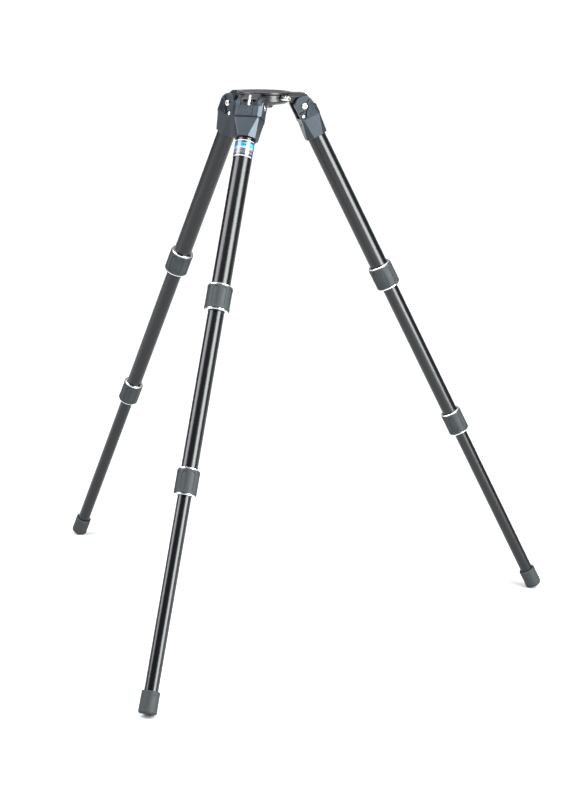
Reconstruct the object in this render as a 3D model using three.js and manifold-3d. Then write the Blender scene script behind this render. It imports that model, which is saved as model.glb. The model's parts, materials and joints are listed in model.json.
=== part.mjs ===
// Three-legged camera support: a shoulder with three arms, and three legs of
// three telescoping tubes with twist locks. Millimetres, +Z up, feet on z = 0.
// The front leg points along -Y. All the legs are alike.
import * as THREE from 'three';
import { mergeVertices } from 'three/addons/utils/BufferGeometryUtils.js';
import Module from 'manifold-3d';

const wasm = await Module();
wasm.setup();

// ---- driving dimensions ----
const GAP = 0.3;                 // left between two pieces that rest on each other
const SEGMENTS = 20;             // facets round a tube
const SMALL_SEGMENTS = 12;       // facets round a screw or a pin
const DISC_SEGMENTS = 30;        // facets round the head
const LEG_AZIMUTHS = { front: 0, right: 120, left: 240 };
const LEG_SPREAD = 27.8;         // leg from the vertical, on its normal stop
const PIVOT_RADIUS = 58.3;       // hinge axis from the head's centre line
const PIVOT_HEIGHT = 790.7;

const PLATE_RADIUS = 40;
const PLATE_TOP = 811.5;
const PLATE_THICKNESS = 3.6;
const PAD_RADIUS = 31;
const PAD_TOP = 812;
const PAD_RECESS = 1.4;
const HUB_RADIUS = 38;
const HUB_TOP = PLATE_TOP - PLATE_THICKNESS - GAP;
const HUB_EDGE = 799.5;          // where the hub's wall meets its underside
const HUB_FOOT = 791;            // lowest rim of the hub
const RIM_WIDTH = 2;             // flat rim round the knob's well
const STUD_RADIUS = 3.17;        // quarter-inch camera thread
const SCREW_HOLE = 4;
const KNOB_RADIUS = 14;
const KNOB_WELL = 15;
const KNOB_FOOT = 787.5;
const KNOB_HEIGHT = 5.5;
const WELL_DEPTH = 11;
const STUD_SUNK = 1;             // top of the lowered stud, below the plate's recess

const ARM_WIDTH = 25;
const ARM_TOP = 810;
const ARM_INNER = 30;
const ARM_UNDERSIDE = 797;
const ARM_STEP = PLATE_RADIUS + 2 * GAP;
const BOSS_RADIUS = 10.5;
const CAM_OUT = 13.5;            // stop block on the arm, from the hinge outward
const CAM_DOWN = 3.7;
const PIN_RADIUS = 1.6;
const PIN_SUNK = 0.4;            // pin's centre line behind the stop block's face
const PIN_SPAN = [-13.5, 2.5];    // down the leg from the hinge
const POCKET = { width: 4.4, depth: 2.5, height: 6, side: 6.6, down: -3 };

// Radial lock screw in the hub: distances from the head's centre line.
const CLAMP = {
  azimuth: 60, radius: 3.7, shank: 2, height: 803.6, from: 28, shoulder: HUB_RADIUS + 0.6, to: 56,
};

const CHEEK_INNER = 13;
const CHEEK_OUTER = 20;
const CHEEK_ROUND = 15;          // round top of the cheeks about the hinge
const HEAD_OUT = 15;
const HEAD_IN = 13;
const FORK_FLOOR = 16.5;
const BLEND_START = 22;
const BLEND_OUT = 17;            // outer face where the body starts to narrow
const HEAD_END = 51;
const SOCKET_RADIUS = 16.25;
const SOCKET_FLOOR = 26;

const BOLT_RADIUS = 4;
const BOLT_HEAD = 4.6;
const BOLT_HOLE = 4.3;
const HEAD_THICKNESS = 2;        // of the hinge bolt and its nut
const NUT_SPIGOT = 3;
const DRIVE = 2;                 // circle round a six-sided socket
const DRIVE_DEPTH = 0.7;
const CHEEK_SCREW = { out: -8, down: 13.5, radius: 1.6, head: 2.9, thickness: 0.9 };

// Angle catch: bar across the leg, wings over the cheeks, tooth under the stop block.
const CATCH = { start: 3.5, end: 21, inner: HEAD_OUT + GAP, outer: 18, face: 17, wing: 2.2, tooth: 11 };
const RIDGES = { count: 6, first: 0.6, pitch: 2.6, groove: 1.1, depth: 0.6, length: 12, down: 10.5 };

const TUBE_WALL = 1.5;
const TOP_TUBE = { radius: 14, start: 27, end: 300 };
const MID_TUBE = { radius: 12, start: 258, end: 569 };
const BOTTOM_TUBE = { radius: 10, start: 527, end: 866 };
const BUSH = { length: 14, proud: 0.25 };

// Twist locks: distances down the leg of the rubber grip's two ends.
const UPPER_LOCK = { gripStart: 278.3, gripEnd: 312.9, gripRadius: 18.7, flange: 17.7,
  outer: TOP_TUBE, inner: MID_TUBE };
const LOWER_LOCK = { gripStart: 548.2, gripEnd: 582.8, gripRadius: 16.3, flange: 15.4,
  outer: MID_TUBE, inner: BOTTOM_TUBE };
const RING_PROUD = 2;            // bare metal beyond each end of the rubber
const GRIP_WALL = 1.4;
const FERRULE_WALL = 1.6;
const FERRULE_INSET = 0.6;       // ferrule's end below the nut's top flange
const NUT_MOUTH = 3.8;           // thickness of the annulus that closes a nut

const FOOT = { start: 856.6, end: 888.2, radius: 13.35, round: 3.5, chamfer: 1.2 };
const LABEL = { start: 56, end: 82, proud: 0.5, arc: 150 };

const rad = THREE.MathUtils.degToRad;

// ---- materials ----
function finish(color, roughness, metalness) {
  return new THREE.MeshStandardMaterial({ color, roughness, metalness });
}

const castingPaint = finish(0x5f6a72, 0.45, 0.4);
const blackPaint = finish(0x2a2c2f, 0.4, 0.4);
const tubePaint = finish(0x1d1f22, 0.2, 0.5);
const bareMetal = finish(0xc9ccd0, 0.25, 1);
const rubber = finish(0x3c3d40, 0.85, 0);
const nylon = finish(0x202124, 0.6, 0);
const labelFilm = finish(0x9fc6dc, 0.3, 0.2);

// ---- solids ----
function toSolid(geometry) {
  const bare = geometry.clone();
  bare.deleteAttribute('normal');
  bare.deleteAttribute('uv');
  const merged = mergeVertices(bare, 1e-4);
  return new wasm.Manifold(new wasm.Mesh({
    numProp: 3,
    vertProperties: Float32Array.from(merged.attributes.position.array),
    triVerts: Uint32Array.from(merged.index.array),
  }));
}

function toGeometry(solid) {
  const mesh = solid.getMesh();
  const geometry = new THREE.BufferGeometry();
  geometry.setAttribute('position', new THREE.BufferAttribute(new Float32Array(mesh.vertProperties), 3));
  geometry.setIndex(new THREE.BufferAttribute(new Uint32Array(mesh.triVerts), 1));
  return geometry;
}

function box(width, depth, height, x = 0, y = 0, z = 0) {
  return toSolid(new THREE.BoxGeometry(width, depth, height).translate(x, y, z));
}

// A rod along X, Y or Z, centred on the given point.
function rod(radius, length, axis = 'z', at = [0, 0, 0], sides = SEGMENTS) {
  const geometry = new THREE.CylinderGeometry(radius, radius, length, sides);
  if (axis === 'z') geometry.rotateX(Math.PI / 2);
  if (axis === 'x') geometry.rotateZ(Math.PI / 2);
  return toSolid(geometry.translate(...at));
}

// A closed turned profile of [radius, z] points, anticlockwise with z up.
function turned(points, sides = SEGMENTS) {
  const outline = points.map(([r, z]) => new THREE.Vector2(r, z));
  outline.push(outline[0].clone());
  return toSolid(new THREE.LatheGeometry(outline, sides).rotateX(Math.PI / 2));
}

// A sleeve down the leg between two distances from the hinge.
function sleeve(inner, outer, start, end) {
  return turned([[inner, -end], [outer, -end], [outer, -start], [inner, -start]]);
}

// A plate across X from an outline of [out, down] points.
function plateAcross(outline, from, to) {
  const shape = new THREE.Shape(outline.map(([out, down]) => new THREE.Vector2(-out, -down)));
  const geometry = new THREE.ExtrudeGeometry(shape, { depth: to - from, bevelEnabled: false });
  geometry.rotateX(Math.PI / 2).rotateZ(Math.PI / 2).translate(from, 0, 0);
  return toSolid(geometry);
}

function arcPoints(radius, startDegrees, endDegrees, steps) {
  return Array.from({ length: steps + 1 }, (_, i) => {
    const angle = rad(startDegrees + ((endDegrees - startDegrees) * i) / steps);
    return [radius * Math.cos(angle), radius * Math.sin(angle)];
  });
}

// ---- head ----
function hubBody() {
  const wellTop = HUB_FOOT + WELL_DEPTH;
  return turned([
    [KNOB_WELL, HUB_FOOT], [KNOB_WELL + RIM_WIDTH, HUB_FOOT], [ARM_INNER, ARM_UNDERSIDE],
    [HUB_RADIUS, HUB_EDGE], [HUB_RADIUS, HUB_TOP], [SCREW_HOLE, HUB_TOP],
    [SCREW_HOLE, wellTop], [KNOB_WELL, wellTop],
  ], DISC_SEGMENTS);
}

// Moves a point from leg terms (outward, down the leg) to head terms (radius, height).
function legToHead([out, down]) {
  const spread = rad(LEG_SPREAD);
  return [
    PIVOT_RADIUS + out * Math.cos(spread) + down * Math.sin(spread),
    PIVOT_HEIGHT + out * Math.sin(spread) - down * Math.cos(spread),
  ];
}

// One arm, pointing along -Y: a beam, a round boss on the hinge and the stop block.
function arm() {
  const beam = [
    [ARM_INNER, ARM_UNDERSIDE], [48.5, 794], [58, 790], [60, ARM_TOP - 1], [59, ARM_TOP],
    [ARM_STEP, ARM_TOP], [ARM_STEP, HUB_TOP], [ARM_INNER, HUB_TOP],
  ];
  const stop = [[0, CAM_DOWN], [CAM_OUT, CAM_DOWN], [CAM_OUT, -9], [11.8, -14.5]].map(legToHead);
  stop.push([60, ARM_TOP], [56, PIVOT_HEIGHT + 4]);
  const hinge = [0, -PIVOT_RADIUS, PIVOT_HEIGHT];
  const boss = rod(BOSS_RADIUS, ARM_WIDTH, 'x', hinge, SEGMENTS);
  const hole = rod(BOLT_HOLE, ARM_WIDTH + 2, 'x', hinge, SMALL_SEGMENTS);
  const [body, block] = [beam, stop].map((outline) => headPlate(outline, -ARM_WIDTH / 2, ARM_WIDTH / 2));
  const whole = body.add(boss).add(block);
  return whole.subtract(hole).subtract(onCamFace(stopPin(GAP))).subtract(endPockets());
}

// A plate across X from an outline of [radius, height] points, standing towards -Y.
function headPlate(outline, from, to) {
  return plateAcross(outline.map(([r, z]) => [r, -z]), from, to);
}

function onCamFace(solid) {
  const placed = toGeometry(solid);
  placed.rotateX(rad(-LEG_SPREAD)).translate(0, -PIVOT_RADIUS, PIVOT_HEIGHT);
  return toSolid(placed);
}

// The stop pin, or with a clearance round it the groove that it lies in.
function stopPin(clearance = 0) {
  const length = PIN_SPAN[1] - PIN_SPAN[0] + 2 * clearance;
  const middle = [0, PIN_SUNK - CAM_OUT, -(PIN_SPAN[0] + PIN_SPAN[1]) / 2];
  return rod(PIN_RADIUS + clearance, length, 'z', middle, SMALL_SEGMENTS);
}

// Two square pockets that lighten the arm's end face.
function endPockets() {
  const { width, depth, height, side, down } = POCKET;
  const pocket = (sign) => onCamFace(box(width, 2 * depth, height, sign * side, -CAM_OUT, -down));
  return pocket(-1).add(pocket(1));
}

function shoulderCasting() {
  let casting = hubBody();
  const oneArm = arm();
  for (const azimuth of Object.values(LEG_AZIMUTHS)) casting = casting.add(atAzimuth(oneArm, azimuth));
  const well = rod(KNOB_WELL, WELL_DEPTH, 'z', [0, 0, HUB_FOOT + WELL_DEPTH / 2], DISC_SEGMENTS);
  return casting.subtract(well).subtract(atAzimuth(clampHole(), CLAMP.azimuth));
}

function atAzimuth(solid, azimuth) {
  return toSolid(toGeometry(solid).rotateZ(rad(azimuth)));
}

// A rod outward from the head's centre line, between two distances from it.
function radialRod(radius, from, to, sides = SMALL_SEGMENTS) {
  return rod(radius, to - from, 'y', [0, -(from + to) / 2, CLAMP.height], sides);
}

function clampHole() {
  return radialRod(CLAMP.shank + GAP, CLAMP.from - GAP, HUB_RADIUS + 2);
}

// Radial lock screw: shank in the hub, round head outside with a socket in its end.
function clampScrew() {
  const shank = radialRod(CLAMP.shank, CLAMP.from, CLAMP.shoulder + 1);
  const head = radialRod(CLAMP.radius, CLAMP.shoulder, CLAMP.to);
  const socket = radialRod(DRIVE, CLAMP.to - 2, CLAMP.to + 1, 6);
  return atAzimuth(shank.add(head).subtract(socket), CLAMP.azimuth);
}

function topPlate() {
  const base = PLATE_TOP - PLATE_THICKNESS;
  const recess = PLATE_TOP - PAD_RECESS;
  const chamfer = 0.8;
  return turned([
    [SCREW_HOLE, base], [PLATE_RADIUS - chamfer, base], [PLATE_RADIUS, base + chamfer],
    [PLATE_RADIUS, PLATE_TOP - chamfer], [PLATE_RADIUS - chamfer, PLATE_TOP],
    [PAD_RADIUS + GAP, PLATE_TOP], [PAD_RADIUS + GAP, recess], [SCREW_HOLE, recess],
  ], DISC_SEGMENTS);
}

function topPad() {
  const base = PLATE_TOP - PAD_RECESS + GAP;
  const bore = SCREW_HOLE + 1;
  return turned([[bore, base], [PAD_RADIUS, base], [PAD_RADIUS, PAD_TOP], [bore, PAD_TOP]], DISC_SEGMENTS);
}

// Captive camera screw: a stud on a round knob that hangs below the hub.
function cameraScrew() {
  const knobTop = KNOB_FOOT + KNOB_HEIGHT;
  const studTop = PLATE_TOP - PAD_RECESS - STUD_SUNK;
  const lead = 0.8;
  return turned([
    [0, KNOB_FOOT + 1], [4, KNOB_FOOT], [KNOB_RADIUS - 1, KNOB_FOOT], [KNOB_RADIUS, KNOB_FOOT + 1],
    [KNOB_RADIUS, knobTop], [STUD_RADIUS, knobTop], [STUD_RADIUS, studTop - lead],
    [STUD_RADIUS - lead, studTop], [0, studTop],
  ], SEGMENTS);
}

// ---- leg pieces, hinge at the origin, +X along the hinge, -Y outward, -Z down the leg ----
function cheekOutline() {
  const top = arcPoints(CHEEK_ROUND, -10, -180, 7).map(([out, down]) => [Math.max(out, -HEAD_IN), down]);
  return [...top, [-HEAD_IN, BLEND_START], [HEAD_OUT, BLEND_START]];
}

// Ring of points round the leg at one distance, from a rounded rectangle (0) to a circle (1).
function blendRing(down, mix) {
  const count = 24;
  const ring = [];
  for (let i = 0; i < count; i += 1) {
    const angle = (2 * Math.PI * i) / count;
    const [c, s] = [Math.cos(angle), Math.sin(angle)];
    const power = 6;
    const depth = s < 0 ? BLEND_OUT : HEAD_IN;
    const square = 1 / ((Math.abs(c / CHEEK_OUTER) ** power + Math.abs(s / depth) ** power) ** (1 / power));
    const radius = square * (1 - mix) + SOCKET_RADIUS * mix;
    ring.push(new THREE.Vector3(c * radius, s * radius, -down));
  }
  return ring;
}

function loft(rings) {
  const count = rings[0].length;
  const positions = rings.flat().flatMap((p) => p.toArray());
  const index = [];
  const centres = [rings[0], rings[rings.length - 1]].map((ring) =>
    ring.reduce((sum, p) => sum.add(p), new THREE.Vector3()).divideScalar(count));
  positions.push(...centres[0].toArray(), ...centres[1].toArray());
  const first = rings.length * count;
  for (let j = 0; j < count; j += 1) {
    const next = (j + 1) % count;
    for (let i = 0; i + 1 < rings.length; i += 1) {
      const [a, b] = [i * count, (i + 1) * count];
      index.push(a + j, b + j, a + next, a + next, b + j, b + next);
    }
    const last = (rings.length - 1) * count;
    index.push(first, j, next, first + 1, last + next, last + j);
  }
  const geometry = new THREE.BufferGeometry();
  geometry.setAttribute('position', new THREE.Float32BufferAttribute(positions, 3));
  geometry.setIndex(index);
  return toSolid(geometry);
}

// Forked casting: two cheeks on the hinge, and a body that blends from square to round.
function legHead() {
  const stations = [
    [FORK_FLOOR - 3, 0], [BLEND_START, 0], [BLEND_START + 10, 0.4], [HEAD_END - 4, 0.95], [HEAD_END, 1],
  ];
  const body = loft(stations.map(([down, mix]) => blendRing(down, mix)));
  const cheeks = plateAcross(cheekOutline(), -CHEEK_OUTER, CHEEK_OUTER);
  const fork = box(2 * CHEEK_INNER, 60, 40, 0, 0, 20 - FORK_FLOOR);
  const catchSeat = box(60, 20, 40, 0, -(HEAD_OUT + 10), 20 - CATCH.end - GAP);
  const socketEnd = HEAD_END + 1;
  const socketMiddle = [0, 0, -(socketEnd + SOCKET_FLOOR) / 2];
  const socket = rod(TOP_TUBE.radius + GAP, socketEnd - SOCKET_FLOOR, 'z', socketMiddle);
  const { out, down, radius } = CHEEK_SCREW;
  const [hinge, screwHole] = [[BOLT_HOLE, 0, 0], [radius + GAP, out, down]].map(([hole, y, z]) =>
    rod(hole, 3 * CHEEK_OUTER, 'x', [0, -y, -z], SMALL_SEGMENTS));
  const cutters = [catchSeat, fork, socket, hinge, screwHole];
  return cutters.reduce((whole, cutter) => whole.subtract(cutter), cheeks.add(body));
}

// Wedge that slopes the bar's face back from its flat middle to the wing; side is 1 or -1.
function barCorner(side, outside) {
  const shape = new THREE.Shape([
    new THREE.Vector2(side * CATCH.face, -(CATCH.outer + 0.01)),
    new THREE.Vector2(side * (outside + 1), -(CATCH.outer + 0.01)),
    new THREE.Vector2(side * (outside + 1), -(CATCH.outer - (outside + 1 - CATCH.face) * 0.75)),
  ]);
  const geometry = new THREE.ExtrudeGeometry(shape, { depth: 40, bevelEnabled: false });
  return toSolid(geometry.translate(0, 0, -35));
}

// Pull-out angle catch: a bar across the leg's outer face, a wing with ridges on each
// cheek and a tooth that stands under the arm's stop block.
function angleCatch() {
  const inside = CHEEK_OUTER + GAP;
  const outside = inside + CATCH.wing;
  const bar = plateAcross([
    [CATCH.inner, CATCH.start], [CATCH.outer - 1.2, CATCH.start], [CATCH.outer, CATCH.start + 1.2],
    [CATCH.outer, CATCH.end - 1], [CATCH.outer - 1, CATCH.end], [CATCH.inner, CATCH.end],
  ], -outside, outside);
  const wingOutline = [
    [5.8, -3.5], [12.6, -6], [14.8, -1], [CATCH.outer - 0.7, CATCH.start], [CATCH.outer - 0.7, CATCH.end - 1],
    [-2, CATCH.end - 3], [-3, 14], [0, 7], [4.6, 5.2], [5.6, 2],
  ];
  const wings = plateAcross(wingOutline, -outside, outside).subtract(box(2 * inside, 80, 80));
  const corners = [-1, 1].map((side) => barCorner(side, outside));
  const [toothTip, toothRoot] = [CATCH.inner - 3, CATCH.inner + 1];
  const [toothTop, toothFoot] = [CAM_DOWN + GAP, 14];
  const tooth = plateAcross([
    [toothTip, toothTop], [toothRoot, toothTop], [toothRoot, toothFoot], [toothTip, toothFoot],
  ], -CATCH.tooth, CATCH.tooth);
  let whole = bar.add(wings).subtract(corners[0]).subtract(corners[1]).add(tooth);
  const grooveFloor = 2 * (outside - RIDGES.depth);
  for (let i = 0; i < RIDGES.count; i += 1) {
    const at = [0, -(RIDGES.first + i * RIDGES.pitch), -RIDGES.down];
    const groove = box(2 * outside + 4, RIDGES.groove, RIDGES.length, ...at);
    whole = whole.subtract(groove.subtract(box(grooveFloor, 2 * RIDGES.groove, RIDGES.length + 2, ...at)));
  }
  const relief = box(2 * inside, 2 * (HEAD_OUT + GAP), 8, 0, 0, -(FORK_FLOOR + 7));
  return whole.subtract(relief);
}

// Round screw head against a cheek, with a six-sided socket; side is 1 or -1.
function boltHead(side) {
  const outerFace = CHEEK_OUTER + GAP + HEAD_THICKNESS;
  const middle = [side * (outerFace - HEAD_THICKNESS / 2), 0, 0];
  const head = rod(BOLT_HEAD, HEAD_THICKNESS, 'x', middle, SMALL_SEGMENTS);
  return { head, socket: rod(DRIVE, 2 * DRIVE_DEPTH, 'x', [side * outerFace, 0, 0], 6) };
}

function hingeBolt() {
  const { head, socket } = boltHead(1);
  const tip = NUT_SPIGOT - CHEEK_OUTER;
  const root = CHEEK_OUTER + 1;
  const shank = rod(BOLT_RADIUS, root - tip, 'x', [(root + tip) / 2, 0, 0], SMALL_SEGMENTS);
  return shank.add(head).subtract(socket);
}

function hingeNut() {
  const { head, socket } = boltHead(-1);
  const middle = [NUT_SPIGOT / 2 - CHEEK_OUTER - 2 * GAP, 0, 0];
  const spigot = rod(BOLT_RADIUS, NUT_SPIGOT, 'x', middle, SMALL_SEGMENTS);
  return head.add(spigot).subtract(socket);
}

// Cross screw low on the cheeks, a round head on each side.
function cheekScrew() {
  const { out, down, radius, head, thickness } = CHEEK_SCREW;
  const reach = CHEEK_OUTER + GAP + thickness / 2;
  const shank = rod(radius, 2 * reach, 'x', [0, -out, -down], SMALL_SEGMENTS);
  const heads = [-1, 1].map((side) => rod(head, thickness, 'x', [side * reach, -out, -down], SMALL_SEGMENTS));
  return shank.add(heads[0]).add(heads[1]);
}

function topTube() {
  return sleeve(TOP_TUBE.radius - TUBE_WALL, TOP_TUBE.radius, TOP_TUBE.start, TOP_TUBE.end);
}

// A sliding tube with the guide bush moulded round its top end.
function slidingTube({ radius, start, end }) {
  const inner = radius - TUBE_WALL;
  const bushRadius = radius + BUSH.proud;
  return turned([
    [inner, -end], [radius, -end], [radius, -(start + BUSH.length)], [bushRadius, -(start + BUSH.length)],
    [bushRadius, -start], [inner, -start],
  ]);
}

// Threaded ferrule bonded round the end of the wider tube.
function ferrule({ gripStart, outer }) {
  const bore = outer.radius + GAP;
  return sleeve(bore, outer.radius + FERRULE_WALL, gripStart - RING_PROUD + FERRULE_INSET, outer.end);
}

// Turning nut under the rubber: a flange above it, and an annulus that closes it below.
function lockNut({ gripStart, gripEnd, gripRadius, flange, outer, inner }) {
  const bore = outer.radius + FERRULE_WALL + GAP;
  const skin = gripRadius - GRIP_WALL - GAP;
  const mouth = inner.radius + GAP;
  const edge = 0.5;
  const top = gripStart - RING_PROUD;
  const end = gripEnd + RING_PROUD;
  return turned([
    [mouth, -end], [skin - edge, -end], [skin, -(end - edge)], [skin, -(gripStart - GAP)],
    [flange, -(gripStart - GAP)], [flange, -(top + edge)], [flange - edge, -top], [bore, -top],
    [bore, -(end - NUT_MOUTH)], [mouth, -(end - NUT_MOUTH)],
  ]);
}

// Rubber grip: a sleeve with chamfered ends.
function lockGrip({ gripStart, gripEnd, gripRadius }) {
  const inner = gripRadius - GRIP_WALL;
  const chamfer = 0.9;
  return turned([
    [inner, -gripEnd], [gripRadius - chamfer, -gripEnd], [gripRadius, -(gripEnd - chamfer)],
    [gripRadius, -(gripStart + chamfer)], [gripRadius - chamfer, -gripStart], [inner, -gripStart],
  ]);
}

// Split collet squeezed on to the narrower tube.
function collet({ gripEnd, outer, inner }) {
  const end = gripEnd + RING_PROUD - NUT_MOUTH - GAP;
  const start = outer.end + 1;
  const bore = inner.radius + 0.25;
  const ring = turned([[bore, -end], [outer.radius - 0.5, -end], [outer.radius + 1, -start], [bore, -start]]);
  const split = box(outer.radius * 2, 1.2, 2 * (end - start), outer.radius, 0, -(start + end) / 2);
  return ring.subtract(split);
}

function rubberFoot() {
  const { start, end, radius, round, chamfer } = FOOT;
  const bore = BOTTOM_TUBE.radius + GAP;
  const floor = BOTTOM_TUBE.end + 1;
  const corner = arcPoints(round, -90, 0, 3).map(([x, y]) => [radius - round + x, -(end - round) + y]);
  return turned([
    [0, -end], ...corner, [radius, -(start + chamfer)], [radius - chamfer, -start],
    [bore, -start], [bore, -floor], [0, -floor],
  ]);
}

// Thin curved label round the outer side of a leg's top tube.
function frontLabel() {
  const inner = TOP_TUBE.radius + GAP;
  const band = sleeve(inner, inner + LABEL.proud, LABEL.start, LABEL.end);
  const edge = -TOP_TUBE.radius * Math.cos(rad(LABEL.arc / 2));
  const behind = box(4 * TOP_TUBE.radius, 40, 4 * LABEL.end, 0, edge + 20, 0);
  return band.subtract(behind);
}

// ---- assembly ----
function piece(name, solid, material) {
  const mesh = new THREE.Mesh(toGeometry(solid), material);
  mesh.name = name;
  return mesh;
}

function legPieces(side) {
  const parts = [
    ['leg_head', legHead(), castingPaint],
    ['angle_catch', angleCatch(), castingPaint],
    ['hinge_bolt', hingeBolt(), bareMetal],
    ['hinge_nut', hingeNut(), bareMetal],
    ['cheek_screw', cheekScrew(), bareMetal],
    ['stop_pin', stopPin(), bareMetal],
    ['top_tube', topTube(), tubePaint],
    ['upper_ferrule', ferrule(UPPER_LOCK), bareMetal],
    ['upper_nut', lockNut(UPPER_LOCK), bareMetal],
    ['upper_grip', lockGrip(UPPER_LOCK), rubber],
    ['upper_collet', collet(UPPER_LOCK), nylon],
    ['mid_tube', slidingTube(MID_TUBE), tubePaint],
    ['lower_ferrule', ferrule(LOWER_LOCK), bareMetal],
    ['lower_nut', lockNut(LOWER_LOCK), bareMetal],
    ['lower_grip', lockGrip(LOWER_LOCK), rubber],
    ['lower_collet', collet(LOWER_LOCK), nylon],
    ['bottom_tube', slidingTube(BOTTOM_TUBE), tubePaint],
    ['rubber_foot', rubberFoot(), rubber],
  ];
  return parts.map(([name, solid, material]) => piece(`${name}_${side}`, solid, material));
}

// A leg stands on its hinge, tilted outward, and is turned to its place round the head.
function leg(side, azimuth) {
  const tilt = new THREE.Group();
  tilt.position.set(0, -PIVOT_RADIUS, PIVOT_HEIGHT);
  tilt.rotation.x = rad(-LEG_SPREAD);
  tilt.add(...legPieces(side));
  if (side === 'front') tilt.add(piece('front_label', frontLabel(), labelFilm));
  const turn = new THREE.Group();
  turn.rotation.z = rad(azimuth);
  turn.add(tilt);
  return turn;
}

const tripod = new THREE.Group();
tripod.add(piece('shoulder_casting', shoulderCasting(), blackPaint));
tripod.add(piece('top_plate', topPlate(), blackPaint));
tripod.add(piece('top_pad', topPad(), nylon));
tripod.add(piece('camera_screw', cameraScrew(), bareMetal));
tripod.add(piece('clamp_screw', clampScrew(), bareMetal));
for (const [side, azimuth] of Object.entries(LEG_AZIMUTHS)) tripod.add(leg(side, azimuth));

// The origin is under the middle of the whole object's box, on the surface it stands on.
tripod.updateMatrixWorld(true);
const extent = new THREE.Box3().setFromObject(tripod, true);
const middle = extent.getCenter(new THREE.Vector3());
tripod.position.set(-middle.x, -middle.y, -extent.min.z);

export default tripod;
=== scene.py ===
"""Camera tripod: the looks of its pieces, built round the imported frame.

Every piece is made on the bench, about its own axis, in millimetres, and is then put in its place on the
tripod. Leg pieces are made with the hinge at the origin: X runs along the hinge, -Y points outward and -Z
down the leg. Head pieces are made about the head's centre line, with Z measured from the surface that the
tripod stands on.
"""

import json
import logging
import math
from dataclasses import dataclass, field
from enum import Enum
from typing import Iterable, Sequence

import bmesh
import bpy
from mathutils import Matrix, Vector


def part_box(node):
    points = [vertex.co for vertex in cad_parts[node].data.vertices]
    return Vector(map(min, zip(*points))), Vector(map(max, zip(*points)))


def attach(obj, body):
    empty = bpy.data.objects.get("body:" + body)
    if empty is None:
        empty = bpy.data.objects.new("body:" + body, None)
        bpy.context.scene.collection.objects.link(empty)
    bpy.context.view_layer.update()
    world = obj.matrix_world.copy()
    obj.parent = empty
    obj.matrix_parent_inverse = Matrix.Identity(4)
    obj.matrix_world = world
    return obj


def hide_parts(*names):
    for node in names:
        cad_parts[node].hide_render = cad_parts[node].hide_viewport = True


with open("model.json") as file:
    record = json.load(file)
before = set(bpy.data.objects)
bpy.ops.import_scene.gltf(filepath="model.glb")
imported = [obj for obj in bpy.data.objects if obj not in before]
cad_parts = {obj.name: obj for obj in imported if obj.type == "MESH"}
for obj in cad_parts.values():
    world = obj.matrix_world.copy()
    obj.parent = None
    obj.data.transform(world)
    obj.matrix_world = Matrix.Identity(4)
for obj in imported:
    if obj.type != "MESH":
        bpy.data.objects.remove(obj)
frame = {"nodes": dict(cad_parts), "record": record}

MM = 0.001
NEAR = 0.0005  # millimetres between two points that are one
SPECK = 0.1  # millimetres between two points that a rounding needs as one
FLAT = 0.4  # degrees between two faces that are one
LOG = logging.getLogger("tripod")

Point = tuple[float, float]
Profile = Sequence[Point]


# ---- Where things are ----
class Side(Enum):
    """The three legs, by the names that the frame gives them."""

    FRONT = "front"
    RIGHT = "right"
    LEFT = "left"


class Axis(Enum):
    """An axis of the bench, as the turn that carries +Z on to it."""

    X = (0.0, math.pi / 2, 0.0)
    Y = (-math.pi / 2, 0.0, 0.0)
    Z = (0.0, 0.0, 0.0)


@dataclass(frozen=True)
class Seat:
    """Where a bench lies in the tripod's frame.

    Attributes:
        matrix: carries bench coordinates, in metres, to the frame.
    """

    matrix: Matrix

    def box(self, node: str) -> tuple[Vector, Vector]:
        """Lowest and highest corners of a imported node, in this bench's millimetres."""
        inverse = self.matrix.inverted()
        points = [inverse @ v.co / MM for v in frame["nodes"][node].data.vertices]
        lowest = Vector(min(p[i] for p in points) for i in range(3))
        highest = Vector(max(p[i] for p in points) for i in range(3))
        return lowest, highest

    def sleeve(self, node: str) -> tuple[float, float, float]:
        """Outer radius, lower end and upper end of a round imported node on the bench's Z axis."""
        lowest, highest = self.box(node)
        return max(highest.x, -lowest.x), lowest.z, highest.z


def joint(name: str) -> dict:
    """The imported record's entry for one joint."""
    return next(j for j in frame["record"]["behaviour"]["joints"] if j["name"] == name)


def leg_seat(side: Side) -> Seat:
    """The bench of one leg: its origin on the hinge, its Z axis up the leg."""
    hinge = joint(f"leg_fold_{side.value}")
    along = Vector(hinge["axis"]).normalized()
    up = Vector(joint(f"mid_slide_{side.value}")["axis"]).normalized()
    across = up.cross(along).normalized()
    turn = Matrix((along, across, up)).transposed().to_4x4()
    return Seat(Matrix.Translation(Vector(hinge["pos_m"])) @ turn)


def head_seat() -> Seat:
    """The bench of the head: on the head's centre line, at the height of the floor."""
    lowest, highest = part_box("top_plate")
    middle = (Vector(lowest) + Vector(highest)) / 2
    return Seat(Matrix.Translation(Vector((middle.x, middle.y, 0.0))))


HEAD = head_seat()
LEGS = {side: leg_seat(side) for side in Side}
MODEL_LEG = LEGS[Side.FRONT]


# ---- Bench tools ----
def arc(centre: Point, radius: float, start: float, end: float, steps: int) -> list[Point]:
    """Points on a round stretch of an outline.

    Args:
        centre: middle of the arc, in millimetres.
        radius: its radius.
        start: first angle in degrees.
        end: last angle in degrees.
        steps: number of chords.

    Returns:
        The points from first to last, both ends included.
    """
    angles = [math.radians(start + (end - start) * i / steps) for i in range(steps + 1)]
    return [(centre[0] + radius * math.cos(a), centre[1] + radius * math.sin(a)) for a in angles]


def deselect() -> None:
    """Leaves no object selected, so that an operator acts only on what is picked next."""
    if bpy.context.object and bpy.context.object.mode != "OBJECT":
        bpy.ops.object.mode_set(mode="OBJECT")
    bpy.ops.object.select_all(action="DESELECT")


def pick(obj: bpy.types.Object) -> None:
    """Makes one object the only selected and active one."""
    deselect()
    obj.select_set(True)
    bpy.context.view_layer.objects.active = obj


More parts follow.
